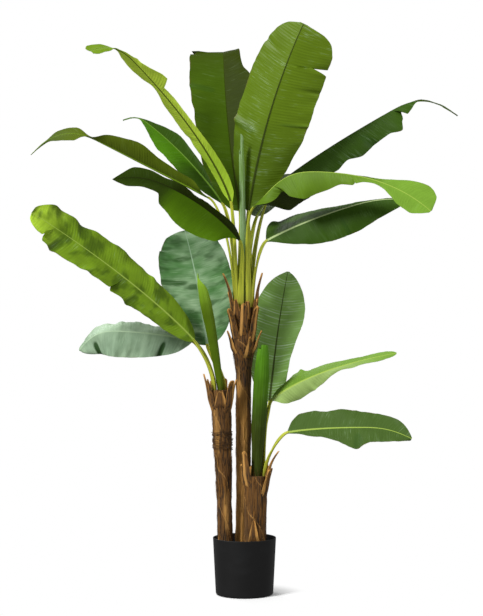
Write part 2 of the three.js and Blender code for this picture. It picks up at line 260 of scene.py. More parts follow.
class Shader(Nodes):
    """A material's node tree."""

    def __init__(self, name: str) -> None:
        """Start an empty material of that name."""
        self.material = bpy.data.materials.new(name)
        self.material.use_nodes = True
        super().__init__(self.material.node_tree)
        self.tree.nodes.clear()

    def attribute(self, name: str) -> bpy.types.NodeSocket:
        """The vector stored on the mesh under a name."""
        return self.node("ShaderNodeAttribute", {"attribute_name": name}, {}).outputs["Vector"]

    def place(self) -> bpy.types.NodeSocket:
        """The point's own coordinates on the object."""
        return self.node("ShaderNodeTexCoord", {}, {}).outputs["Object"]

    def parts(self, vector: bpy.types.NodeSocket) -> tuple[Number, Number, Number]:
        """The three numbers of a vector."""
        node = self.node("ShaderNodeSeparateXYZ", {}, {"Vector": vector})
        x, y, z = (Number(self, socket) for socket in node.outputs)
        return x, y, z

    def noise(
        self, vector: bpy.types.NodeSocket, scale: Point, detail: float = 3.0, seed: float = 0.0
    ) -> Number:
        """Noise from 0 to 1.

        Args:
            vector: The coordinates, in metres.
            scale: Features per metre along each coordinate.
            detail: The number of finer layers.
            seed: An offset that gives a pattern of its own.

        Returns:
            The noise.
        """
        settings = {"vector_type": "POINT"}
        sockets = {"Vector": vector, "Scale": scale, "Location": (seed, seed * 1.7, seed * 0.6)}
        mapped = self.node("ShaderNodeMapping", settings, sockets).outputs["Vector"]
        node = self.node("ShaderNodeTexNoise", {}, {"Vector": mapped, "Scale": 1.0, "Detail": detail})
        return Number(self, node.outputs["Fac"])

    def mix(self, share: Any, first: Any, second: Any) -> bpy.types.NodeSocket:
        """A colour between two others.

        Args:
            share: 0 for the first colour and 1 for the second.
            first: A colour or a colour socket.
            second: A colour or a colour socket.

        Returns:
            The mixed colour.
        """
        sockets = {"Factor_Float": share, "A_Color": first, "B_Color": second}
        node = self.node("ShaderNodeMix", {"data_type": "RGBA", "clamp_factor": True}, sockets)
        return next(socket for socket in node.outputs if socket.identifier == "Result_Color")

    def brightened(self, colour: Any, by: Number) -> bpy.types.NodeSocket:
        """A colour times a number."""
        node = self.node("ShaderNodeVectorMath", {"operation": "SCALE"}, {0: colour, "Scale": by})
        return node.outputs["Vector"]

    def finish(
        self, colour: Any, roughness: Any, height: Number, depth: float, **fixed: float
    ) -> bpy.types.Material:
        """Close the tree with one Principled shader.

        Args:
            colour: The base colour.
            roughness: The roughness.
            height: What the bump reads, from about 0 to 1.
            depth: The bump's depth in metres.
            fixed: Values of other sockets, named with _ for a space.

        Returns:
            The material.
        """
        bump = self.node("ShaderNodeBump", {}, {"Strength": 1.0, "Distance": depth, "Height": height})
        sockets = {"Base Color": colour, "Roughness": roughness, "Normal": bump.outputs["Normal"]}
        sockets.update({name.replace("_", " "): value for name, value in fixed.items()})
        surface = self.node("ShaderNodeBsdfPrincipled", {}, sockets)
        self.node("ShaderNodeOutputMaterial", {}, {"Surface": surface.outputs["BSDF"]})
        return self.material


@dataclass(frozen=True)
class LeafSkin:
    """Printed leaf cloth: a tint for each half, the start and the end, with veins, streaks and a midrib.

    Some of these tints paint light and shade: a lit and a shaded half, shade near some feet and on some
    flaps, light on a tip, a painted shadow along the midrib, and pale painted sheen in streaks, patches and
    on crests.
    """

    name: str
    left: Green
    right: Green
    end: Green | None = None
    start: Green | None = None
    rib: Green = Green.RIB
    start_to: float = 0.3
    end_from: float = 0.6
    end_to: float = 1.0
    under: Green = Green.SLATE
    under_share: float = 0.05
    vein: float = 0.009
    dry: float = 0.5
    gloss: float = 0.44
    polish: float = 0.13
    # Share of pale painted sheen in streaks.
    painted_sheen: float = 0.09
    # Share of pale painted sheen in patches.
    sheen_patches: float = 0.0
    # Share of painted sheen on the crests of the pleats.
    crest_sheen: float = 0.0
    # Share of darker patches at random: partly the leaf's mottle, partly painted shade of folds.
    dark_patches: float = 0.0
    # The green of those patches and of the painted shade in creases.
    patch: Green = Green.STEEP
    fold_shade: float = 0.25
    bump: float = 0.0004
    mottle: float = 0.25
    seed: float = 0.0

    def material(self) -> bpy.types.Material:
        """Build the material from the attributes "place" and "mask" of a leaf's mesh."""
        shader = Shader(f"leaf_{self.name}")
        place = shader.attribute("place")
        across, along, share = shader.parts(place)
        rib, below, edge = shader.parts(shader.attribute("mask"))
        streak = shader.noise(place, STREAKS, 2.0, self.seed)
        band = shader.noise(place, BANDS, 3.0, self.seed + 3.0)
        cloud = shader.noise(place, CLOUDS, 3.0, self.seed + 7.0)
        patch = shader.noise(place, WEAR, 2.0, self.seed + 11.0)
        crest = abs((along * (math.pi / self.vein)).sine()) ** 8.0 * band.rising(0.3, 0.62)
        # Each half's tint; on several leaves one half is a lit copy and the other a shaded copy: painted
        # light and painted shade.
        colour = shader.mix(across.rising(-0.002, 0.002), self.right.colour, self.left.colour)
        # The start and end tints: partly the leaf's own tone, partly painted shade near the foot and on flaps
        # and painted light on a tip.
        if self.start is not None:
            early = 1.0 - (share + cloud * 0.12).rising(self.start_to - 0.1, self.start_to + 0.14)
            colour = shader.mix(early, colour, self.start.colour)
        if self.end is not None:
            late = (share + band * 0.06 - 0.03).rising(self.end_from, self.end_to)
            colour = shader.mix(late, colour, self.end.colour)
        colour = shader.mix(below * self.under_share, colour, self.under.colour)
        # Painted sheen: pale patches over the blade.
        if self.sheen_patches > 0.0:
            sheet = shader.noise(place, SHEETS, 2.0, self.seed + 17.0)
            sheen_spread = (sheet * 0.8 + streak * 0.2).rising(0.3, 0.75) * self.sheen_patches
            colour = shader.mix(sheen_spread, colour, Green.FROST.colour)
        # Darker patches at random: partly mottle, partly painted shade of folds.
        if self.dark_patches > 0.0:
            deep = shader.noise(place, DARK_SPOTS, 2.0, self.seed + 23.0)
            colour = shader.mix(deep.rising(0.46, 0.66) * self.dark_patches, colour, self.patch.colour)
        # Painted shade in sunk creases.
        sunk = shader.parts(shader.attribute("fold"))[0]
        colour = shader.mix(sunk.rising(0.1, 0.6) * self.fold_shade, colour, self.patch.colour)
        # Painted sheen: pale streaks over the blade.
        sheen_streaks = (streak * 0.6 + band * 0.4).rising(0.54, 0.72) * cloud.rising(0.42, 0.62)
        colour = shader.mix(sheen_streaks * self.painted_sheen, colour, Green.FROST.colour)
        # Painted sheen on the crests of the pleats.
        if self.crest_sheen > 0.0:
            colour = shader.mix(crest * band.rising(0.4, 0.66) * self.crest_sheen, colour, Green.FROST.colour)
        value = 0.78 + streak * 0.22 + band * 0.24 - crest * 0.06
        value = value * (1.0 - self.mottle * 0.5 + cloud * self.mottle)
        colour = shader.brightened(colour, value)
        worn = edge.rising(0.95, 1.0) * patch.rising(0.48, 0.62) * self.dry
        colour = shader.mix(worn, colour, Green.DRY.colour)
        # The midrib's tint; where it is dark it is a painted shadow along the midrib's fold.
        colour = shader.mix(rib.rising(0.25, 0.85) * 0.9, colour, self.rib.colour)
        roughness = self.gloss + band * 0.14 + streak * 0.08 - sheen_streaks * 0.1
        height = streak * 0.5 + crest * 0.25 + band * 0.25
        return shader.finish(colour, roughness, height, self.bump, Specular_IOR_Level=self.polish)


@dataclass(frozen=True)
class StalkSkin:
    """A leaf stalk: yellow-green with olive lines along it, browner at its foot."""

    name: str
    light: str = "c8cc40"
    line: str = "7c8a28"
    foot: str = "76692a"
    line_scale: Point = (900.0, 9.0, 0.0)
    cloud_scale: Point = (60.0, 22.0, 0.0)
    bump: float = 0.0005

    def material(self) -> bpy.types.Material:
        """Build the material from the attribute "place": round the stalk, along it and its share."""
        shader = Shader(self.name)
        place = shader.attribute("place")
        share = shader.parts(place)[2]
        lines = shader.noise(place, self.line_scale, 2.0)
        cloud = shader.noise(place, self.cloud_scale, 3.0, 4.0)
        colour = shader.mix(lines.rising(0.38, 0.66), linear(self.light), linear(self.line))
        colour = shader.mix((1.0 - share.rising(0.0, 0.2)) * 0.5, colour, linear(self.foot))
        colour = shader.brightened(colour, 0.8 + cloud * 0.4)
        return shader.finish(colour, 0.42 + cloud * 0.15, lines, self.bump, Specular_IOR_Level=0.2)


@dataclass(frozen=True)
class HuskSkin:
    """Dry palm fibre: dark between the strands, brown on them and tan on the lighter strips.

    Light and shade are painted in as well: the tan is paler on a trunk's lit side, and the bark is darker in
    its hollows and in a band under the crown.
    """

    name: str
    dark: str = "1f1405"
    brown: str = "6c4612"
    tan: str = "ca964c"
    tan_from: float = 0.47
    strand_scale: Point = (420.0, 420.0, 14.0)
    strip_scale: Point = (46.0, 46.0, 5.0)
    cloud_scale: Point = (18.0, 18.0, 11.0)
    bump: float = 0.0012

    def material(self) -> bpy.types.Material:
        """Build the material from the object's own coordinates and the attribute "relief"."""
        shader = Shader(self.name)
        place = shader.place()
        layer, height, tone = shader.parts(shader.attribute("relief"))
        strand = shader.noise(place, self.strand_scale, 3.0)
        strip = shader.noise(place, self.strip_scale, 3.0, 5.0)
        cloud = shader.noise(place, self.cloud_scale, 3.0, 9.0)
        colour = shader.mix(strand.rising(0.36, 0.62), linear(self.dark), linear(self.brown))
        # Paler tan where the stored tone is high; on the bark that tone holds painted light on the lit side.
        pale = (strip * 0.5 + tone * 0.5).rising(self.tan_from, self.tan_from + 0.2)
        colour = shader.mix(pale * (0.45 + strand * 0.55), colour, linear(self.tan))
        colour = shader.mix(layer.rising(0.9, 1.0) * 0.5, colour, linear(self.tan))
        # Brightness follows the stored height: on the bark it paints shade in hollows and under the crown; on
        # the stubs it rises towards their tips.
        colour = shader.brightened(colour, 0.5 + height * 0.75 + cloud * 0.4)
        return shader.finish(colour, 0.82 + cloud * 0.15, strand * 0.7 + strip * 0.3, self.bump)


@dataclass(frozen=True)
class PlasticSkin:
    """Moulded black plastic with a faint grain and light scuffs."""

    name: str
    black: str = "090909"
    scuff: str = "191a1b"
    grain_scale: Point = (700.0, 700.0, 700.0)
    cloud_scale: Point = (16.0, 16.0, 24.0)
    scratch_scale: Point = (40.0, 40.0, 600.0)
    bump: float = 0.00012

    def material(self) -> bpy.types.Material:
        """Build the material from the object's own coordinates."""
        shader = Shader(self.name)
        place = shader.place()
        grain = shader.noise(place, self.grain_scale, 2.0)
        cloud = shader.noise(place, self.cloud_scale, 4.0, 3.0)
        scratch = shader.noise(place, self.scratch_scale, 2.0, 8.0)
        worn = cloud.rising(0.5, 0.75) * 0.35 + scratch.rising(0.66, 0.8) * 0.25
        colour = shader.mix(worn, linear(self.black), linear(self.scuff))
        roughness = 0.46 + cloud * 0.2 + grain * 0.06
        return shader.finish(colour, roughness, grain, self.bump, Specular_IOR_Level=0.3)


@dataclass(frozen=True)
class FillSkin:
    """Dark cast fill with a rough, grainy top."""

    name: str
    dark: str = "191613"
    grit: str = "4a4037"
    grit_scale: Point = (380.0, 380.0, 380.0)
    cloud_scale: Point = (30.0, 30.0, 30.0)
    bump: float = 0.0015

    def material(self) -> bpy.types.Material:
        """Build the material from the object's own coordinates."""
        shader = Shader(self.name)
        place = shader.place()
        grit = shader.noise(place, self.grit_scale, 4.0)
        cloud = shader.noise(place, self.cloud_scale, 3.0, 2.0)
        colour = shader.mix(grit.rising(0.5, 0.72), linear(self.dark), linear(self.grit))
        colour = shader.brightened(colour, 0.7 + cloud * 0.6)
        return shader.finish(colour, 0.9, grit, self.bump)


# ------------------------------------------------------------------ meshes


def smoothstep(value: Any, low: float, high: float) -> Any:
    """A smooth step of numbers or arrays, 0 below low and 1 above high."""
    share = np.clip((value - low) / (high - low), 0.0, 1.0)
    return share * share * (3.0 - 2.0 * share)


def direction(heading: Any, rise: Any) -> Array:
    """The unit vectors with given headings and rises, in degrees, as rows."""
    turn, climb = np.radians(heading), np.radians(rise)
    level = np.cos(climb)
    return np.stack([level * np.cos(turn), level * np.sin(turn), np.sin(climb) + 0.0 * turn], axis=-1)


def smooth_line(points: Sequence[Row], place: Array) -> Array:
    """A smooth curve through points that never swings past them.

    Args:
        points: The points, from left to right.
        place: Where to read the curve.

    Returns:
        Its values.
    """
    x, y = (np.array(column, float) for column in zip(*points))
    step = np.diff(x)
    rate = np.diff(y) / step
    same = rate[:-1] * rate[1:] > 0.0
    inner = np.where(same, 2.0 * rate[:-1] * rate[1:] / np.where(same, rate[:-1] + rate[1:], 1.0), 0.0)
    slope = np.concatenate([rate[:1], inner, rate[-1:]])
    place = np.clip(place, x[0], x[-1])
    i = np.clip(np.searchsorted(x, place, side="right") - 1, 0, len(step) - 1)
    t = (place - x[i]) / step[i]
    value = y[i] * (1 + 2 * t) * (1 - t) ** 2 + y[i + 1] * t * t * (3 - 2 * t)
    return value + step[i] * (slope[i] * t * (1 - t) ** 2 - slope[i + 1] * t * t * (1 - t))


def unit(vectors: Array) -> Array:
    """The vectors at length 1."""
    return vectors / np.linalg.norm(vectors, axis=-1, keepdims=True)


def draws(name: str) -> np.random.Generator:
    """Random draws with a fixed seed that belongs to a name."""
    return np.random.default_rng(zlib.crc32(name.encode()))


def ring(count: int) -> Array:
    """That many angles round a full turn, in radians, as one row."""
    return np.linspace(0.0, math.tau, count, endpoint=False)[None, :]


def placed(name: str, data: bpy.types.ID) -> bpy.types.Object:
    """A new object in the scene that shows the data."""
    made = bpy.data.objects.new(name, data)
    bpy.context.scene.collection.objects.link(made)
    return made


class Ripple:
    """Smooth seeded noise over two coordinates, made of crossing sine waves."""

    def __init__(self, name: str, count: int = 7) -> None:
        """Draw the waves that belong to a name."""
        draw = draws(name)
        self.waves = draw.uniform(-1.0, 1.0, (count, 2))
        self.shifts = draw.uniform(0.0, math.tau, count)
        self.sizes = draw.uniform(0.5, 1.0, count)

    def __call__(self, first: Array, second: Array) -> Array:
        """Noise of about -1 to 1 at places given in wavelengths."""
        total = 0.0
        for (a, b), shift, size in zip(self.waves, self.shifts, self.sizes):
            total = total + size * np.sin(math.tau * (a * first + b * second) + shift)
        return total / self.sizes.sum() * 1.6


class Lattice:
    """Seeded value noise over two coordinates, which closes on itself round the first."""

    def __init__(self, name: str, around: int, along: int) -> None:
        """Draw a lattice of around times along values."""
        self.values = draws(name).uniform(-1.0, 1.0, (along + 2, around))
        self.around = around
        self.along = along

    def __call__(self, turn: Array, share: Array) -> Array:
        """Read the noise.

        Args:
            turn: Shares of a turn.
            share: Shares of the length.

        Returns:
            Noise from -1 to 1.
        """
        x = np.mod(turn, 1.0) * self.around
        y = np.clip(share, 0.0, 1.0) * self.along
        column, row = np.floor(x).astype(int), np.floor(y).astype(int)
        u, v = smoothstep(x - column, 0.0, 1.0), smoothstep(y - row, 0.0, 1.0)
        near, far = column % self.around, (column + 1) % self.around
        low = self.values[row, near] * (1 - u) + self.values[row, far] * u
        high = self.values[row + 1, near] * (1 - u) + self.values[row + 1, far] * u
        return low * (1 - v) + high * v


@dataclass
class Shape:
    """A closed mesh in the making: points, faces and vectors stored on the points."""

    points: Array
    faces: list[Sequence[int]]
    stored: dict[str, Array] = field(default_factory=dict)

    def made(self, name: str, material: bpy.types.Material, crease: float = 50.0) -> bpy.types.Object:
        """Turn the shape into an object.

        Args:
            name: The object's name.
            material: Its finish.
            crease: The angle in degrees past which an edge is sharp.

        Returns:
            The object, at the origin.
        """
        mesh = bpy.data.meshes.new(name)
        mesh.from_pydata(self.points.tolist(), [], [tuple(face) for face in self.faces])
        for key, values in self.stored.items():
            layer = mesh.attributes.new(key, "FLOAT_VECTOR", "POINT")
            layer.data.foreach_set("vector", values.astype(np.float32).ravel())
        mesh.materials.append(material)
        mesh.shade_smooth()
        mesh.set_sharp_from_angle(angle=math.radians(crease))
        mesh.update()
        return placed(name, mesh)


def thin_solid(top: Array, bottom: Array, stored: dict[str, tuple[Array, Array]]) -> Shape:
    """Close a sheet between its two skins.

    Args:
        top: Points of the upper skin, rows by columns, where row x column faces the upper side.
        bottom: Points of the lower skin, alike.
        stored: For each stored vector, its values on the upper and on the lower skin.

    Returns:
        The closed sheet.
    """
    rows, columns = top.shape[:2]
    index = np.arange(rows * columns).reshape(rows, columns)
    a, b, c, d = index[:-1, :-1], index[1:, :-1], index[1:, 1:], index[:-1, 1:]
    upper = np.stack([a, b, c, d], axis=-1).reshape(-1, 4)
    lower = upper[:, ::-1] + rows * columns
    rim = np.concatenate([index[:-1, 0], index[-1, :-1], index[:0:-1, -1], index[0, :0:-1]])
    after = np.roll(rim, -1)
    sides = np.stack([after, rim, rim + rows * columns, after + rows * columns], axis=-1)
    points = np.concatenate([top.reshape(-1, 3), bottom.reshape(-1, 3)])
    kept = {k: np.concatenate([u.reshape(-1, 3), v.reshape(-1, 3)]) for k, (u, v) in stored.items()}
    return Shape(points, np.concatenate([upper, lower, sides]).tolist(), kept)


def tube(rings: Array, stored: dict[str, Array]) -> Shape:
    """A closed solid through rings of points that turn anticlockwise seen from the far end.

    Args:
        rings: The points, rings by points of a ring.
        stored: The stored vectors, alike.

    Returns:
        The solid, with a point in the middle of each end.
    """
    rows, columns = rings.shape[:2]
    index = np.arange(rows * columns).reshape(rows, columns)
    after = np.roll(index, -1, axis=1)
    walls = np.stack([index[:-1], after[:-1], after[1:], index[1:]], axis=-1).reshape(-1, 4)
    first, last = rows * columns, rows * columns + 1
    faces = walls.tolist()
    faces += [[first, after[0, i], index[0, i]] for i in range(columns)]
    faces += [[last, index[-1, i], after[-1, i]] for i in range(columns)]
    ends = [rings[0].mean(axis=0), rings[-1].mean(axis=0)]
    kept = {}
    for key, value in stored.items():
        kept[key] = np.concatenate([value.reshape(-1, 3), [value[0].mean(axis=0), value[-1].mean(axis=0)]])
    return Shape(np.concatenate([rings.reshape(-1, 3), ends]), faces, kept)


def bezier(points: Sequence[Array], count: int) -> tuple[Array, Array]:
    """Places and unit tangents along a Bezier curve of any degree.

    Args:
        points: The control points.
        count: How many places.

    Returns:
        The places and the tangents, as rows.
    """
    share = np.linspace(0.0, 1.0, count)[:, None]

    def run(control: list[Array]) -> Array:
        """De Casteljau's construction."""
        while len(control) > 1:
            control = [a * (1 - share) + b * share for a, b in zip(control, control[1:])]
        return control[0] + 0.0 * share

    control = [np.asarray(p, float) for p in points]
    return run(control), unit(run([b - a for a, b in zip(control, control[1:])]))


def dress(piece: bpy.types.Object, nodes: Iterable[str]) -> None:
    """Let a piece ride on the plant and stand for its solids."""
    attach(piece, BODY)
    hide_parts(*nodes)
    LOG.info("%s: %d faces", piece.name, len(piece.data.polygons))


# ------------------------------------------------------------------ trunks


@dataclass(frozen=True)
class Trunk:
    """A fibre-wrapped trunk, upright but for a slight lean, in sections of (height, radius)."""

    name: str
    foot: Row
    lean: Row
    stalk_ring: float
    sections: tuple[Row, ...]
    columns: int = 96
    row_height: float = 0.003
    sunk: float = 0.004
    layers: int = 3
    layer_depth: float = 0.0022
    inset: float = 0.0012
    relief_depth: float = 0.0017
    crack_depth: float = 0.0016
    winding: float = 0.3
    dimming: float = 1.1
    neck_fade: Row = (0.055, 0.08)
    light_side: float = 215.0
    one_sided: float = 0.4
    # Heights over which the painted shade under the crown rises.
    neck_shade: Row = (0.0, 0.0)
    tone_shift: float = 0.0
    wrapped: Row = (0.0, 0.0)
    wraps: int = 0
    bottom: float = 0.150

    @property
    def top(self) -> float:
        """The height of the trunk's flat top."""
        return self.sections[-1][0]

    def centre(self, height: Any) -> Array:
        """The trunk's centre at heights, as rows."""
        share = (np.asarray(height, float) - self.bottom) / (self.top - self.bottom)
        x, y = (foot + lean * share for foot, lean in zip(self.foot, self.lean))
        return np.stack([x, y, height + 0.0 * share], axis=-1)

    def radius(self, height: Any) -> Any:
        """The trunk's radius at heights."""
        heights, radii = zip(*self.sections)
        return np.interp(height, heights, radii)

    def shape(self) -> Shape:
        """The bark: spiral layers of fibre cloth with lumps, cracks and strands."""
        length = self.top - self.bottom
        share = np.linspace(0.0, 1.0, int(length / self.row_height))[:, None]
        turn = (np.arange(self.columns) / self.columns)[None, :]
        height = self.bottom - self.sunk + (length + self.sunk) * share + 0.0 * turn

        def grain(kind: str, around: int, spacing: float) -> Array:
            """Noise with so many lumps round the trunk and one for each spacing along it."""
            return Lattice(self.name + kind, around, int(length / spacing))(turn, share)

        lumps = grain("lumps", 7, 0.05)
        strands = grain("strands", self.columns // 2, 0.045)
        cords = grain("cords", 17, 0.09)
        wander = 0.16 * grain("wander", 5, 0.04)
        layer = np.mod(self.layers * turn + 2.2 * height / self.winding + wander, 1.0)
        # Painted light: the tone is paler on the side that faces the light.
        sunny = np.cos(math.tau * (turn - self.light_side / 360.0)) * self.one_sided
        # Painted shade: the band just under the crown is darker, rising from below and fading out above it.
        neck = self.neck_shade[1]
        neck_shade = smoothstep(height, self.neck_shade[0], neck) if neck else 0.0
        shaded = neck_shade * (1.0 - smoothstep(height, neck + self.neck_fade[0], neck + self.neck_fade[1]))
        tone = 0.5 * grain("tone", 9, 0.12) + 0.75 * sunny + self.tone_shift - self.dimming * neck_shade
        relief = 0.45 * lumps + 0.35 * cords + 0.45 * strands
        lift = self.layer_depth * (layer - 0.5) + self.relief_depth * relief
        lift = lift - self.crack_depth * (1.0 - np.abs(cords)) ** 6
        radius = self.radius(height) - self.inset + lift
        angle = math.tau * turn
        spokes = np.stack([np.cos(angle) * radius, np.sin(angle) * radius, 0.0 * radius], axis=-1)
        # The stored height drops in hollows and in that band, which paints shade there.
        high = np.clip(0.5 + 0.5 * relief - 0.45 * shaded, 0, 1)
        stored = np.stack([layer, high, np.clip(0.5 + 0.5 * tone, 0, 1)], axis=-1)
        return tube(self.centre(height) + spokes, {"relief": stored})


@dataclass(frozen=True)
class Sheath:
    """The cut stub of an old leaf sheath: a bowed plate that leans away from its trunk."""

    name: str
    at: float
    root: float
    length: float
    width: float
    flare: float
    thickness: float = 0.0085
    tip_thickness: float = 0.005
    tip_width: float = 0.6
    hug: float = 0.3
    gap: float = 0.0008
    sink: float = 0.011
    sunk_share: float = 0.45
    torn: Row = (-0.07, 0.02)
    rib: float = 0.0006
    curl: float = 0.0022
    rows: int = 34
    columns: int = 17

    def shape(self, trunk: Trunk) -> Shape:
        """The stub, with ribs along it, curled edges and a torn tip.

        Args:
            trunk: The trunk that it grows on.

        Returns:
            Its closed shape.
        """
        draw = draws(self.name)
        across = np.linspace(-1.0, 1.0, self.columns)
        torn = draw.uniform(*self.torn, self.columns) - 0.05 * across**2
        ribs = draw.uniform(-1.0, 1.0, self.columns) * self.rib
        step = self.length / (self.rows - 1)
        outer, inner = [], []
        height, reach = self.root, 0.0
        turn = math.radians(self.at)
        ahead = np.array([math.cos(turn), math.sin(turn), 0.0])
        aside = np.array([-math.sin(turn), math.cos(turn), 0.0])
        for i in range(self.rows):
            share = i / (self.rows - 1)
            level = min(height, trunk.top)
            if height <= trunk.top:
                reach = max(reach, float(trunk.radius(height)) + self.gap)
            half = self.width / 2 * (1 + (self.tip_width - 1) * share)
            bow = half / float(trunk.radius(self.root)) * (1 + 0.3 * share)
            inside = half / bow
            thick = self.thickness + (self.tip_thickness - self.thickness) * share
            thick = thick * (1.0 - 0.45 * across**2) * min(1.0, 0.35 + 6 * share)
            lean = math.radians(self.flare * float(smoothstep(share, 0.0, 1.0)))
            along = ahead * math.sin(lean) + UP * math.cos(lean)
            sunk = self.sink * (1.0 - float(smoothstep(share, 0.0, self.sunk_share)))
            middle = trunk.centre(level) + ahead * (reach - inside - sunk) + UP * (height - level)
            angle = (across * bow)[:, None]
            spoke = np.cos(angle) * ahead + np.sin(angle) * aside
            slip = along * (torn * self.length * float(smoothstep(share, 0.55, 1.0)))[:, None]
            curl = spoke * (self.curl * share * np.abs(across) ** 3)[:, None]
            outside = inside + thick + ribs * min(1.0, 4 * share)
            outer.append(middle + spoke * outside[:, None] + slip + curl)
            inner.append(middle + spoke * inside + slip + curl)
            if share >= self.hug:
                reach += step * math.sin(lean)
            height += step * math.cos(lean)
        share = np.linspace(0.0, 1.0, self.rows)[:, None] + 0.0 * across
        edge = np.maximum(smoothstep(share, 0.8, 1.0), 0.93 * np.abs(across) ** 4 + 0.0 * share)
        tone = 0.4 + 0.4 * np.sin(across * 3.0 + self.at) + 0.0 * share
        front = np.stack([edge, 0.45 + 0.4 * share, tone], axis=-1)
        back = np.stack([np.maximum(edge, 0.93), 0.35 + 0.4 * share, tone + 0.2], axis=-1)
        return thin_solid(np.array(inner)[:, ::-1], np.array(outer)[:, ::-1], {"relief": (back, front)})


@dataclass(frozen=True)
class Collar(Sheath):
    """A thin, pointed stub between the larger ones."""

    thickness: float = 0.005
    tip_thickness: float = 0.0035
    tip_width: float = 0.3


class FibreNodes(Nodes):
    """Node trees that lay loose fibres over a trunk, from named inputs."""

    def __init__(self, name: str, *sizes: str) -> None:
        """Start a tree whose inputs are a geometry, a material and some sizes.

        Args:
            name: The tree's name.
            sizes: The names of the sizes.
        """
        super().__init__(bpy.data.node_groups.new(name, "GeometryNodeTree"))
        self.inputs: dict[str, str] = {}
        self.add_input("Geometry", "NodeSocketGeometry")
        self.tree.interface.new_socket(name="Geometry", in_out="OUTPUT", socket_type="NodeSocketGeometry")
        for size in sizes:
            self.add_input(size, "NodeSocketFloat")
        self.add_input("Material", "NodeSocketMaterial")
        self.source = self.node("NodeGroupInput", {}, {})

    def add_input(self, name: str, kind: str) -> None:
        """Add a named input and keep its identifier."""
        made = self.tree.interface.new_socket(name=name, in_out="INPUT", socket_type=kind)
        self.inputs[name] = made.identifier

    def given(self, name: str) -> Number:
        """The socket of a named input."""
        return Number(self, self.source.outputs[name])

    def spread(self, low: Any, high: Any, seed: int) -> bpy.types.NodeSocket:
        """A random number or vector for each fibre."""
        kind, mark = ("FLOAT_VECTOR", "") if isinstance(low, tuple) else ("FLOAT", "_001")
        sockets = {"Min" + mark: low, "Max" + mark: high, "Seed": seed}
        node = self.node("FunctionNodeRandomValue", {"data_type": kind}, sockets)
        return next(s for s in node.outputs if s.enabled)

    def rod(self, curve: bpy.types.NodeSocket, sides: int, radius: Number, **scale: Number) -> bpy.types.Node:
        """A solid round a curve, with so many sides and, if given, a Scale along it."""
        section = self.node("GeometryNodeCurvePrimitiveCircle", {}, {"Resolution": sides, "Radius": radius})
        sockets = {"Curve": curve, "Profile Curve": section.outputs["Curve"], "Fill Caps": True, **scale}
        return self.node("GeometryNodeCurveToMesh", {}, sockets)

    def close(self, points: Any, rod: bpy.types.Node, rotation: Any, scale: Any) -> None:
        """End the tree: a rod on each point, realized, smoothed and given the material.

        Args:
            points: Where the fibres lie.
            rod: What makes one of them.
            rotation: Each fibre's turn.
            scale: Its size.
        """
        sockets = {"Points": points, "Instance": rod.outputs["Mesh"], "Rotation": rotation, "Scale": scale}
        laid = self.node("GeometryNodeInstanceOnPoints", {}, sockets).outputs["Instances"]
        real = self.node("GeometryNodeRealizeInstances", {}, {"Geometry": laid})
        smooth = self.node("GeometryNodeSetShadeSmooth", {}, {"Geometry": real.outputs["Geometry"]})
        sockets = {"Geometry": smooth.outputs["Geometry"], "Material": self.given("Material")}
        coated = self.node("GeometryNodeSetMaterial", {}, sockets)
        self.node("NodeGroupOutput", {}, {"Geometry": coated.outputs["Geometry"]})

    def run(self, name: str, mesh: bpy.types.Mesh, values: dict[str, Any]) -> bpy.types.Object:
        """Grow the fibres on a mesh.

        Args:
            name: The name of the piece.
            mesh: What they lie on.
            values: The tree's inputs, by name.

        Returns:
            The fibres as a plain mesh object.
        """
        host = placed(f"{name}_host", mesh)
        modifier = host.modifiers.new("fibres", "NODES")
        modifier.node_group = self.tree
        for key, value in values.items():
            modifier[self.inputs[key]] = value
        host.update_tag()
        depsgraph = bpy.context.evaluated_depsgraph_get()
        grown = bpy.data.meshes.new_from_object(host.evaluated_get(depsgraph))
        host.modifiers.remove(modifier)
        bpy.data.objects.remove(host)
        grown.name = name
        return placed(name, grown)


class LooseStrands(FibreNodes):
    """Strands scattered over the bark, roughly upright, bowed and thin at both ends."""

    smallest: Point = (0.7, 0.6, 0.4)
    largest: Point = (1.5, 1.4, 1.3)
    bow: Point = (0.003, 0.004, 0.0)
    dip: float = -0.001
    fullest: float = 1.08

    def __init__(self) -> None:
        """Build the tree."""
        super().__init__("loose strands", "Density", "Length", "Radius", "Tilt")
        self.add_input("Seed", "NodeSocketInt")
        sockets = {"Mesh": self.given("Geometry")} | {key: self.given(key) for key in ("Density", "Seed")}
        points = self.node("GeometryNodeDistributePointsOnFaces", {}, sockets)
        settings, sockets = {"axis": "X", "pivot_axis": "Z"}, {"Vector": points.outputs["Normal"]}
        facing = self.node("FunctionNodeAlignRotationToVector", settings, sockets)
        tilt = self.spread(self.given("Tilt") * -1.0, self.given("Tilt"), 3)
        turned = self.node("ShaderNodeCombineXYZ", {}, {"X": tilt})
        sockets = {"Rotation": facing.outputs["Rotation"], "Rotate By": turned.outputs["Vector"]}
        rotation = self.node("FunctionNodeRotateRotation", {"rotation_space": "LOCAL"}, sockets)
        sockets = {"Resolution": 5, "Middle": self.bow}
        for end, half in (("Start", -0.5), ("End", 0.5)):
            tip = {"X": self.dip, "Z": self.given("Length") * half}
            sockets[end] = self.node("ShaderNodeCombineXYZ", {}, tip).outputs["Vector"]
        strand = self.node("GeometryNodeCurveQuadraticBezier", {}, sockets)
        along = Number(self, self.node("GeometryNodeSplineParameter", {}, {}).outputs["Factor"]) * 2.0 - 1.0
        rod = self.rod(strand.outputs["Curve"], 3, self.given("Radius"), Scale=self.fullest - along * along)
        size = self.spread(self.smallest, self.largest, 5)
        self.close(points.outputs["Points"], rod, rotation.outputs["Rotation"], size)


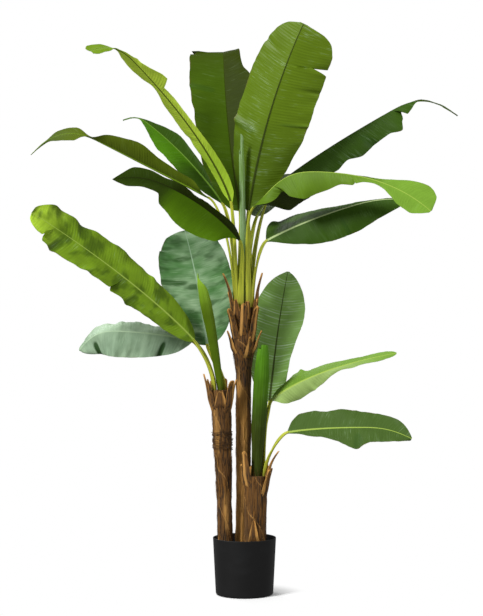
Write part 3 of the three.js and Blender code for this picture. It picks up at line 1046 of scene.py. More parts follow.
class WrapStrands(FibreNodes):
    """Strands wound part of the way round a trunk, tangled at all angles."""

    smallest: Point = (0.98, 0.98, 0.3)
    largest: Point = (1.07, 1.07, 1.6)

    def __init__(self) -> None:
        """Build the tree."""
        super().__init__("wrap strands", "Radius", "Thickness", "Rise", "Turns", "Tilt")
        radius, tilt = self.given("Radius"), self.given("Tilt")
        sockets = {
            "Resolution": 28,
            "Rotations": self.given("Turns"),
            "Start Radius": radius,
            "End Radius": radius,
            "Height": self.given("Rise"),
        }
        spiral = self.node("GeometryNodeCurveSpiral", {}, sockets)
        rod = self.rod(spiral.outputs["Curve"], 4, self.given("Thickness"))
        turns = {axis: self.spread(tilt * -1.0, tilt, seed) for axis, seed in (("X", 1), ("Y", 2))}
        turns["Z"] = self.spread(0.0, math.tau, 4)
        rotation = self.node("ShaderNodeCombineXYZ", {}, turns)
        size = self.spread(self.smallest, self.largest, 6)
        self.close(self.given("Geometry"), rod, rotation.outputs["Vector"], size)


# ------------------------------------------------------------------ leaves


class Half(Enum):
    """The halves of a leaf, as seen by someone who looks along it from above."""

    LEFT = 1
    RIGHT = -1


@dataclass(frozen=True)
class Tear:
    """A split from the edge towards the midrib, along the veins."""

    half: Half
    at: float
    depth: float = 0.4
    width: float = 0.012
    lift: float = 0.006


@dataclass(frozen=True)
class Crease:
    """A fold that runs from the midrib to the edge along the veins, raised or sunk by its depth."""

    half: Half
    at: float
    depth: float
    width: float


@dataclass(frozen=True)
class Leaf:
    """An open leaf. Lengths of the flat blade; the midrib sinks by droop and nod and turns by swing.

    An edge is an oval of the blade's width, unless left or right gives it in points of (percent of the
    length, millimetres from the midrib).
    """

    name: str
    trunk: str
    seat: float
    base: Point
    heading: float
    rise: float
    length: float
    width: float
    fold: Row
    blunt: float
    slot: Slot
    skin: LeafSkin
    droop: float = 0.0
    bend: float = 1.0
    nod: float = 0.0
    nod_from: float = 0.6
    nod_to: float = 1.0
    swing: float = 0.0
    roll: float = 0.0
    twist: float = 0.0
    widest: float = 0.45
    fold_tip: Row | None = None
    fold_change: Row = (0.35, 0.85)
    left: tuple[Row, ...] = ()
    right: tuple[Row, ...] = ()
    pleat: float = 0.0005
    wave: float = 0.005
    waves: float = 3.0
    tears: tuple[Tear, ...] = ()
    creases: tuple[Crease, ...] = ()
    curl: float = 0.3
    slant: float = 0.035
    thickness: float = 0.0009
    base_fullness: float = 2.0
    start_half: float = 0.005
    tip_half: float = 0.0015
    rib_foot: float = 0.0043
    rib_tip: float = 0.0009
    channel: float = 0.35
    keel: float = 1.05
    ragged: float = 0.014
    frayed: float = 0.006
    opening: float = 0.12
    columns: int = 12

    def midrib(self, count: int = 401) -> dict[str, Array]:
        """Frames along the midrib.

        Args:
            count: How many.

        Returns:
            The shares of the length, and for each the point, the side and the upper direction, as rows.
        """
        share = np.linspace(0.0, 1.0, count)
        sunk = self.droop * share**self.bend + self.nod * smoothstep(share, self.nod_from, self.nod_to)
        turned = self.heading + self.swing * share
        along = direction(turned, self.rise - sunk)
        level = direction(turned + 90.0, 0.0 * share)
        upright = np.cross(along, level)
        angle = np.radians(self.roll + self.twist * share)[:, None]
        side = level * np.cos(angle) + upright * np.sin(angle)
        steps = (along[1:] + along[:-1]) / 2 * self.length / (count - 1)
        point = np.asarray(self.base) + np.concatenate([np.zeros((1, 3)), np.cumsum(steps, axis=0)])
        return {"share": share, "point": point, "side": side, "up": np.cross(along, side)}

    def frames_at(self, share: Array) -> tuple[Array, ...]:
        """The midrib's point, side and upper direction at shares of the length."""
        frames = self.midrib()
        return tuple(
            np.stack([np.interp(share, frames["share"], frames[key][:, i]) for i in range(3)], axis=-1)
            for key in ("point", "side", "up")
        )

    def half_width(self, share: Array, half: Half) -> Array:
        """Half the flat blade's width.

        Args:
            share: Where, as shares of its length.
            half: On which side of the midrib.

        Returns:
            The distance from the midrib to the edge.
        """
        edge = self.left if half is Half.LEFT else self.right
        if edge:
            return smooth_line([(percent / 100, width / 1000) for percent, width in edge], share)
        before = share < self.widest
        u = np.where(before, 1.0 - share / self.widest, (share - self.widest) / (1.0 - self.widest))
        power = np.where(before, self.base_fullness, self.blunt)
        outline = self.width / 2 * np.clip(1.0 - np.clip(u, 0.0, 1.0) ** power, 0.0, 1.0) ** (1.0 / power)
        return np.maximum(np.maximum(self.start_half * (1.0 - share), outline), self.tip_half)

    def cut_back(self, row_share: Array, half: Half) -> tuple[Array, Array, Array]:
        """What tears and creases do to one half.

        Args:
            row_share: Each row's share of the length.
            half: Which half.

        Returns:
            For each row, the share of the width that is kept, the edge's lift, and how deep in a fold it is.
        """
        kept = np.ones_like(row_share)
        sunk = np.zeros_like(row_share)
        lift = np.zeros_like(row_share)
        for tear in self.tears:
            if tear.half is half:
                apart = (row_share - tear.at) / tear.width
                kept -= tear.depth * np.clip(1.0 - np.abs(apart), 0.0, 1.0) ** 2.2
                lift += tear.lift * np.sign(apart) * np.exp(-np.abs(apart) / 4.0)
        for crease in self.creases:
            if crease.half is half:
                bump = np.exp(-(((row_share - crease.at) / crease.width) ** 2))
                lift += crease.depth * bump
                sunk = np.maximum(sunk, bump * (crease.depth < 0.0))
        return kept, lift, sunk

    def rib_half(self, share: Array, half: Array) -> Array:
        """Half the midrib's width, where the blade has the given half width."""
        return np.minimum(self.rib_foot + (self.rib_tip - self.rib_foot) * share**0.7, 0.45 * half)

    def arc(self, sign: int, share: Array, half: Array, part: Array) -> tuple[Array, Array, Array]:
        """Bend a half up or down into an arc.

        Args:
            sign: The half's sign.
            share: The points' shares of the length.
            half: The flat width there.
            part: Their shares of that width.

        Returns:
            The slope at each point in radians, and how far it lies beside and above the midrib.
        """
        side = 0 if sign > 0 else 1
        before = self.fold[side]
        after = before if self.fold_tip is None else self.fold_tip[side]
        fold = before + (after - before) * smoothstep(share, *self.fold_change)
        fold = np.radians(fold * smoothstep(share, 0.0, self.opening))
        start, gain = fold * (1.0 - self.curl), 2.0 * self.curl * fold
        gain = np.where(np.abs(gain) < 1e-4, 1e-4, gain)
        slope = start + gain * part
        beside = half * (np.sin(slope) - np.sin(start)) / gain
        above = half * (np.cos(start) - np.cos(slope)) / gain
        return slope, beside, above

    def unevenness(self, sign: int, row: Array, share: Array, part: Array, lifted: Array) -> Array:
        """How far waves, folds and pleats raise the points of one half.

        Args:
            sign: The half's sign.
            row: Each row's share of the length at the midrib.
            share: The points' own shares of the length.
            part: Their shares of the half's width.
            lifted: How far tears and creases lift each row's edge.

        Returns:
            The height of each point over the smooth blade.
        """
        ripple = Ripple(self.name)
        bent = ripple(share * self.waves, part * 0.8 + sign * 3.0)
        bent = bent + 0.4 * ripple(share * self.waves * 3.1, part + sign)
        bent = bent + 0.12 * ripple(share * 28.0, part * 1.5 + sign)
        lift = self.wave * part**1.7 * smoothstep(share, 0.02, 0.3) * bent + lifted[:, None] * part**2
        phase = math.tau * row * self.length / self.skin.vein
        phase = phase + 1.6 * ripple(row * 5.0, 0.0 * row + sign)
        strong = np.clip(0.55 + 0.6 * ripple(row * 7.0, part * 1.3 + sign * 2.0), 0.1, 1.2)
        pleats = np.cos(phase) + 0.5 * np.cos(0.37 * phase + 1.0)
        return lift + self.pleat * smoothstep(part, 0.02, 0.2) * (1.0 - 0.35 * part) * pleats * strong

    def skins(self, side: Half, row: Array) -> dict[str, Array]:
        """Both skins of one half and what is stored on them, from the midrib to the edge.

        Args:
            side: Which half.
            row: Each row's share of the length at the midrib.

        Returns:
            The points of the two skins, and their place, mask and fold.
        """
        sign = side.value
        ripple = Ripple(self.name)
        kept, lifted, sunk = self.cut_back(row[:, 0], side)
        fade = np.minimum(1.0, np.minimum((1.0 - row) / 0.15, row / 0.05))
        ragged = self.ragged * ripple(row * 9.0, 0.0 * row + sign * 5.0)
        ragged = ragged + self.frayed * ripple(row * 31.0, 0.0 * row + sign)
        half = self.half_width(row + self.slant * fade, side) * (1.0 + ragged)
        half = half * kept[:, None]
        rib = self.rib_half(row, half)
        spots = np.arange(self.columns + 1) / self.columns
        cloth = rib * 1.5 + (half - rib * 1.5) * spots
        distance = np.concatenate([rib * np.array([0.0, 0.5, 1.0]), cloth], axis=1)
        part = distance / half
        share = np.clip(row + self.slant * part**1.5 * fade, 0.0, 1.0)
        slope, beside, above = self.arc(sign, share, half, part)
        lift = self.unevenness(sign, row, share, part, lifted)
        point, aside, up = self.frames_at(share)
        normal = up * np.cos(slope)[..., None] - aside * (sign * np.sin(slope))[..., None]
        middle = point + aside * (sign * beside)[..., None] + up * above[..., None]
        middle = middle + normal * lift[..., None]
        from_rib = distance / np.maximum(rib, 1e-5)
        hump = np.sqrt(np.clip(1.0 - from_rib**2, 0.0, 1.0))
        thin = self.thickness / 2 * (1.0 - 0.5 * part**4)
        # How far each point lies in a sunk crease, which the material darkens as painted shade.
        sunk = sunk[:, None] * smoothstep(part, 0.1, 0.6)
        return {
            "top": middle + normal * (thin - self.channel * rib * hump)[..., None],
            "bottom": middle - normal * (thin + self.keel * rib * hump)[..., None],
            "place": np.stack([sign * distance, row * self.length + 0.0 * part, share], axis=-1),
            "mask": np.stack([np.clip(1.6 - from_rib, 0.0, 1.0), 0.0 * part, part], axis=-1),
            "fold": np.stack([sunk, sunk, sunk], axis=-1),
        }

    def shape(self) -> Shape:
        """The blade as a thin solid with pleats, waves, tears and a channelled midrib."""
        row = np.linspace(0.0, 1.0, int(self.length / self.skin.vein * 4) + 1)[:, None]
        right, left = self.skins(Half.RIGHT, row), self.skins(Half.LEFT, row)
        full = {key: np.concatenate([right[key][:, ::-1], left[key][:, 1:]], axis=1) for key in right}
        below = full["mask"] + np.array([0.0, 1.0, 0.0])
        stored = {k: (full[k], full[k]) for k in ("place", "fold")} | {"mask": (full["mask"], below)}
        return thin_solid(full["top"], full["bottom"], stored)


@dataclass(frozen=True)
class Stalk:
    """A channelled leaf stalk from its seat on the trunk to the blade."""

    leaf: Leaf
    trunk: Trunk
    foot_half: float = 0.0118
    end_half: float = 0.0048
    foot_deep: float = 0.0060
    upright: float = 0.4
    arrive: float = 0.14
    sunk: float = 0.006
    overlap: float = 0.004
    rows: int = 44
    columns: int = 24

    def shape(self) -> Shape:
        """The stalk, with its channel towards the trunk's axis and then on the leaf's upper side."""
        leaf = self.leaf
        along = direction(leaf.heading, leaf.rise)
        outwards = direction(leaf.seat, 0.0)
        foot = self.trunk.centre(self.trunk.top) + outwards * self.trunk.stalk_ring
        end = np.asarray(leaf.base)
        span = float(np.linalg.norm(end - foot))
        rise = UP * (span * self.upright)
        places, tangents = bezier([foot, foot + rise, end - along * span * self.arrive, end], self.rows)
        places = np.concatenate([places[:1] - UP * self.sunk, places, places[-1:] + along * self.overlap])
        tangents = np.concatenate([tangents[:1], tangents, tangents[-1:]])
        share = np.linspace(0.0, 1.0, len(places))[:, None]
        upper = leaf.midrib()["up"][0]
        facing = -outwards * (1.0 - smoothstep(share, 0.2, 0.9)) + upper * smoothstep(share, 0.2, 0.9)
        facing = unit(facing - tangents * (facing * tangents).sum(axis=1, keepdims=True))
        aside = np.cross(facing, tangents)
        angle = ring(self.columns)
        half = self.foot_half + (self.end_half - self.foot_half) * share
        deep = self.foot_deep + (self.end_half - self.foot_deep) * share
        sine = np.sin(angle)
        channel = 0.62 * sine - 0.72 * np.exp(-((np.cos(angle) / 0.5) ** 2)) * sine
        high = np.where(sine > 0.0, channel, sine) * deep
        wide = np.cos(angle) * half
        rings = places[:, None] + aside[:, None] * wide[..., None] + facing[:, None] * high[..., None]
        flat = 0.0 * share * angle
        stored = np.stack([angle * 0.006 + flat, share * span + flat, share + flat], axis=-1)
        return tube(rings, {"place": stored})


@dataclass(frozen=True)
class RolledLeaf:
    """A leaf still rolled up: a sheet wound round itself, in sections of (share of the height, radius)."""

    name: str
    tip: Point
    sections: tuple[Row, ...]
    skin: LeafSkin
    turns: float = 1.35
    start: float = 250.0
    cut: float = 0.12
    bow: float = 0.15
    shrink: float = 0.3
    pleats: float = 26.0
    sunk: float = 0.004
    rows: int = 150
    columns: int = 110
    thickness: float = 0.0009

    def shape(self, trunk: Trunk) -> Shape:
        """The wound sheet, its end cut to a point at the outer edge.

        Args:
            trunk: The trunk that it stands on.

        Returns:
            Its closed shape.
        """
        foot = trunk.centre(trunk.top) - UP * self.sunk
        end = np.asarray(self.tip) - foot
        middle = end * 0.5 - np.array([end[0] * self.bow, 0.0, 0.0])
        wound = np.linspace(0.0, 1.0, self.columns)[None, :]
        row = np.linspace(0.0, 1.0, self.rows)[:, None]
        level = row * (1.0 - self.cut * smoothstep(wound, 0.0, 0.75))
        shares, radii = zip(*self.sections)
        radius = np.interp(level, shares, radii) * (1.0 - self.shrink * wound)
        radius = radius + 0.00045 * np.cos(math.tau * self.pleats * wound) * smoothstep(level, 0.02, 0.2)
        angle = math.radians(self.start) + math.tau * self.turns * wound
        curve = 2.0 * level[..., None] * (1.0 - level[..., None]) * middle + level[..., None] ** 2 * end
        spoke = np.stack([np.cos(angle), np.sin(angle), 0.0 * angle], axis=-1)
        outer = foot + curve + spoke * radius[..., None]
        inner = foot + curve + spoke * (radius - self.thickness)[..., None]
        height = float(np.linalg.norm(end))
        edge = np.maximum(1.0 - wound * 60.0, 0.0) + 0.0 * row
        place = np.stack([level * height, wound * 0.26 + 0.0 * row, level], axis=-1)
        outside = np.stack([0.0 * level, 0.0 * level, edge], axis=-1)
        stored = {"place": (place, place), "mask": (outside + np.array([0.0, 1.0, 0.0]), outside)}
        return thin_solid(inner, outer, stored)


# ------------------------------------------------------------------ pot


@dataclass(frozen=True)
class Pot:
    """The round pot and the fill that the trunks stand in."""

    height: float = 0.178
    rim_radius: float = 0.099
    foot_radius: float = 0.090
    wall: float = 0.0026
    edge: float = 0.006
    floor: float = 0.005
    fill_top: float = 0.150
    fill_edge: float = 0.003
    shrink_at: float = 0.163
    shrink_depth: float = 0.0003
    shrink_width: float = 0.0012
    middle: float = 0.03
    sides: int = 128

    def build(self) -> None:
        """Make the pot and the fill."""
        shell = self.shell().made("pot_shell", PlasticSkin("pot_plastic").material(), crease=60.0)
        dress(shell, ["pot"])
        fill = self.fill().made("pot_fill_top", FillSkin("cast_fill").material(), crease=60.0)
        dress(fill, ["pot_fill"])

    def radius(self, height: float) -> float:
        """The pot's outer radius at a height."""
        return self.foot_radius + (self.rim_radius - self.foot_radius) * height / self.height

    def turned(self, profile: Sequence[Row]) -> Shape:
        """Turn a profile round the axis.

        Args:
            profile: Points of (radius, height), of which the first and the last lie on the axis.

        Returns:
            The closed solid.
        """
        angle = ring(self.sides)
        rows = np.array(profile[1:-1])
        radius, height = rows[:, :1], rows[:, 1:]
        rings = np.stack([radius * np.cos(angle), radius * np.sin(angle), height + 0.0 * angle], axis=-1)
        made = tube(rings, {})
        made.points[-2:, 2] = (profile[0][1], profile[-1][1])
        return made

    def shell(self) -> Shape:
        """The wall, with a rounded foot edge, a faint shrink line and a softened rim."""
        foot = self.radius(self.edge) - self.edge
        lip = self.wall / 2
        rim = self.radius(self.height) - lip
        profile: list[Row] = [(0.0, 0.0), (self.middle, 0.0)]
        for t in np.linspace(-math.pi / 2, 0.0, 7):
            profile.append((foot + self.edge * math.cos(t), self.edge + self.edge * math.sin(t)))
        for height in np.linspace(self.edge + 0.004, self.height - 0.004, 24):
            apart = (height - self.shrink_at) / self.shrink_width
            profile.append((self.radius(height) - self.shrink_depth * math.exp(-(apart**2)), height))
        for t in np.linspace(0.0, math.pi, 9):
            profile.append((rim + lip * math.cos(t), self.height - lip + lip * math.sin(t)))
        for height in np.linspace(self.height - 0.01, self.floor, 12):
            profile.append((self.radius(height) - self.wall, height))
        return self.turned(profile + [(self.middle, self.floor), (0.0, self.floor)])

    def fill(self) -> Shape:
        """The fill, uneven on top."""
        foot = self.floor + CLEARANCE
        inner, outer = (self.radius(height) - self.wall - CLEARANCE for height in (foot, self.fill_top))
        profile: list[Row] = [(0.0, foot), (inner, foot), (outer, self.fill_top - self.fill_edge)]
        profile += [(outer * share, self.fill_top) for share in np.linspace(0.99, 0.04, 30)]
        made = self.turned(profile + [(0.0, self.fill_top)])
        lumps = Ripple("fill", 11)
        upper = made.points[:, 2] > self.fill_top - 0.001
        x, y = made.points[upper, 0], made.points[upper, 1]
        made.points[upper, 2] -= 0.0014 + 0.0009 * lumps(x * 22, y * 22) + 0.0004 * lumps(x * 90, y * 90)
        return made


# ------------------------------------------------------------------ the plant's own sizes

TRUNKS = (
    Trunk(
        "top", (-0.004, 0.032), (0.002, 0.0), 0.028,
        (
            (0.150, 0.026), (0.250, 0.024), (0.690, 0.025), (0.735, 0.031), (0.775, 0.039), (0.830, 0.038),
            (0.905, 0.034),
        ),
        one_sided=1.1, neck_shade=(0.635, 0.675),
    ),
    Trunk(
        "left", (-0.059, -0.006), (-0.015, -0.002), 0.023,
        ((0.150, 0.025), (0.300, 0.024), (0.450, 0.029), (0.545, 0.031), (0.610, 0.034), (0.640, 0.033)),
        wrapped=(0.452, 0.505), wraps=60, tone_shift=-0.3,
    ),
    Trunk(
        "right", (0.033, -0.024), (0.003, 0.0), 0.027,
        ((0.150, 0.037), (0.215, 0.035), (0.300, 0.036), (0.373, 0.035)),
        tone_shift=-0.7,
    ),
)

SHEATHS = (
    Sheath("top_1", 188, 0.868, 0.142, 0.030, 24),
    Sheath("top_2", 226, 0.785, 0.115, 0.028, 28),
    Sheath("top_3", 352, 0.868, 0.140, 0.030, 17),
    Sheath("top_4", 316, 0.780, 0.125, 0.030, 16),
    Sheath("top_5", 270, 0.800, 0.112, 0.026, 9),
    Sheath("top_6", 92, 0.850, 0.130, 0.036, 22),
    Sheath("top_7", 140, 0.782, 0.115, 0.030, 24),
    Sheath("left_1", 185, 0.560, 0.132, 0.026, 16),
    Sheath("left_2", 318, 0.560, 0.112, 0.034, 12),
    Sheath("left_3", 80, 0.575, 0.105, 0.032, 18),
    Sheath("right_1", 352, 0.345, 0.112, 0.030, 36),
    Sheath("right_2", 215, 0.330, 0.122, 0.038, 8),
    Sheath("right_3", 58, 0.315, 0.095, 0.030, 34),
)

COLLARS = (
    Collar("top_a", 285, 0.846, 0.074, 0.034, 9, tip_width=0.35),
    Collar("top_b", 238, 0.838, 0.086, 0.036, 11),
    Collar("top_c", 328, 0.832, 0.092, 0.036, 12),
    Collar("top_d", 25, 0.850, 0.095, 0.040, 14),
    Collar("top_e", 160, 0.850, 0.098, 0.038, 16),
    Collar("top_f", 205, 0.735, 0.092, 0.036, 22),
    Collar("top_g", 295, 0.722, 0.085, 0.036, 16, tip_width=0.25),
    Collar("top_h", 345, 0.738, 0.090, 0.034, 24),
    Collar("top_i", 60, 0.725, 0.090, 0.040, 18),
    Collar("top_j", 115, 0.728, 0.090, 0.040, 18),
    Collar("left_a", 268, 0.572, 0.066, 0.050, 5),
    Collar("left_b", 214, 0.560, 0.116, 0.036, 15),
    Collar("left_c", 352, 0.575, 0.098, 0.034, 15),
    Collar("left_d", 35, 0.580, 0.090, 0.038, 16),
    Collar("left_e", 128, 0.580, 0.090, 0.040, 16),
    Collar("right_b", 326, 0.292, 0.104, 0.044, 14),
    Collar("right_c", 165, 0.312, 0.096, 0.044, 12),
    Collar("right_d", 15, 0.305, 0.092, 0.042, 18),
    Collar("right_e", 105, 0.312, 0.092, 0.044, 16),
    Collar("right_f", 262, 0.152, 0.090, 0.042, 0, tip_width=0.15, thickness=0.004, tip_thickness=0.003),
)

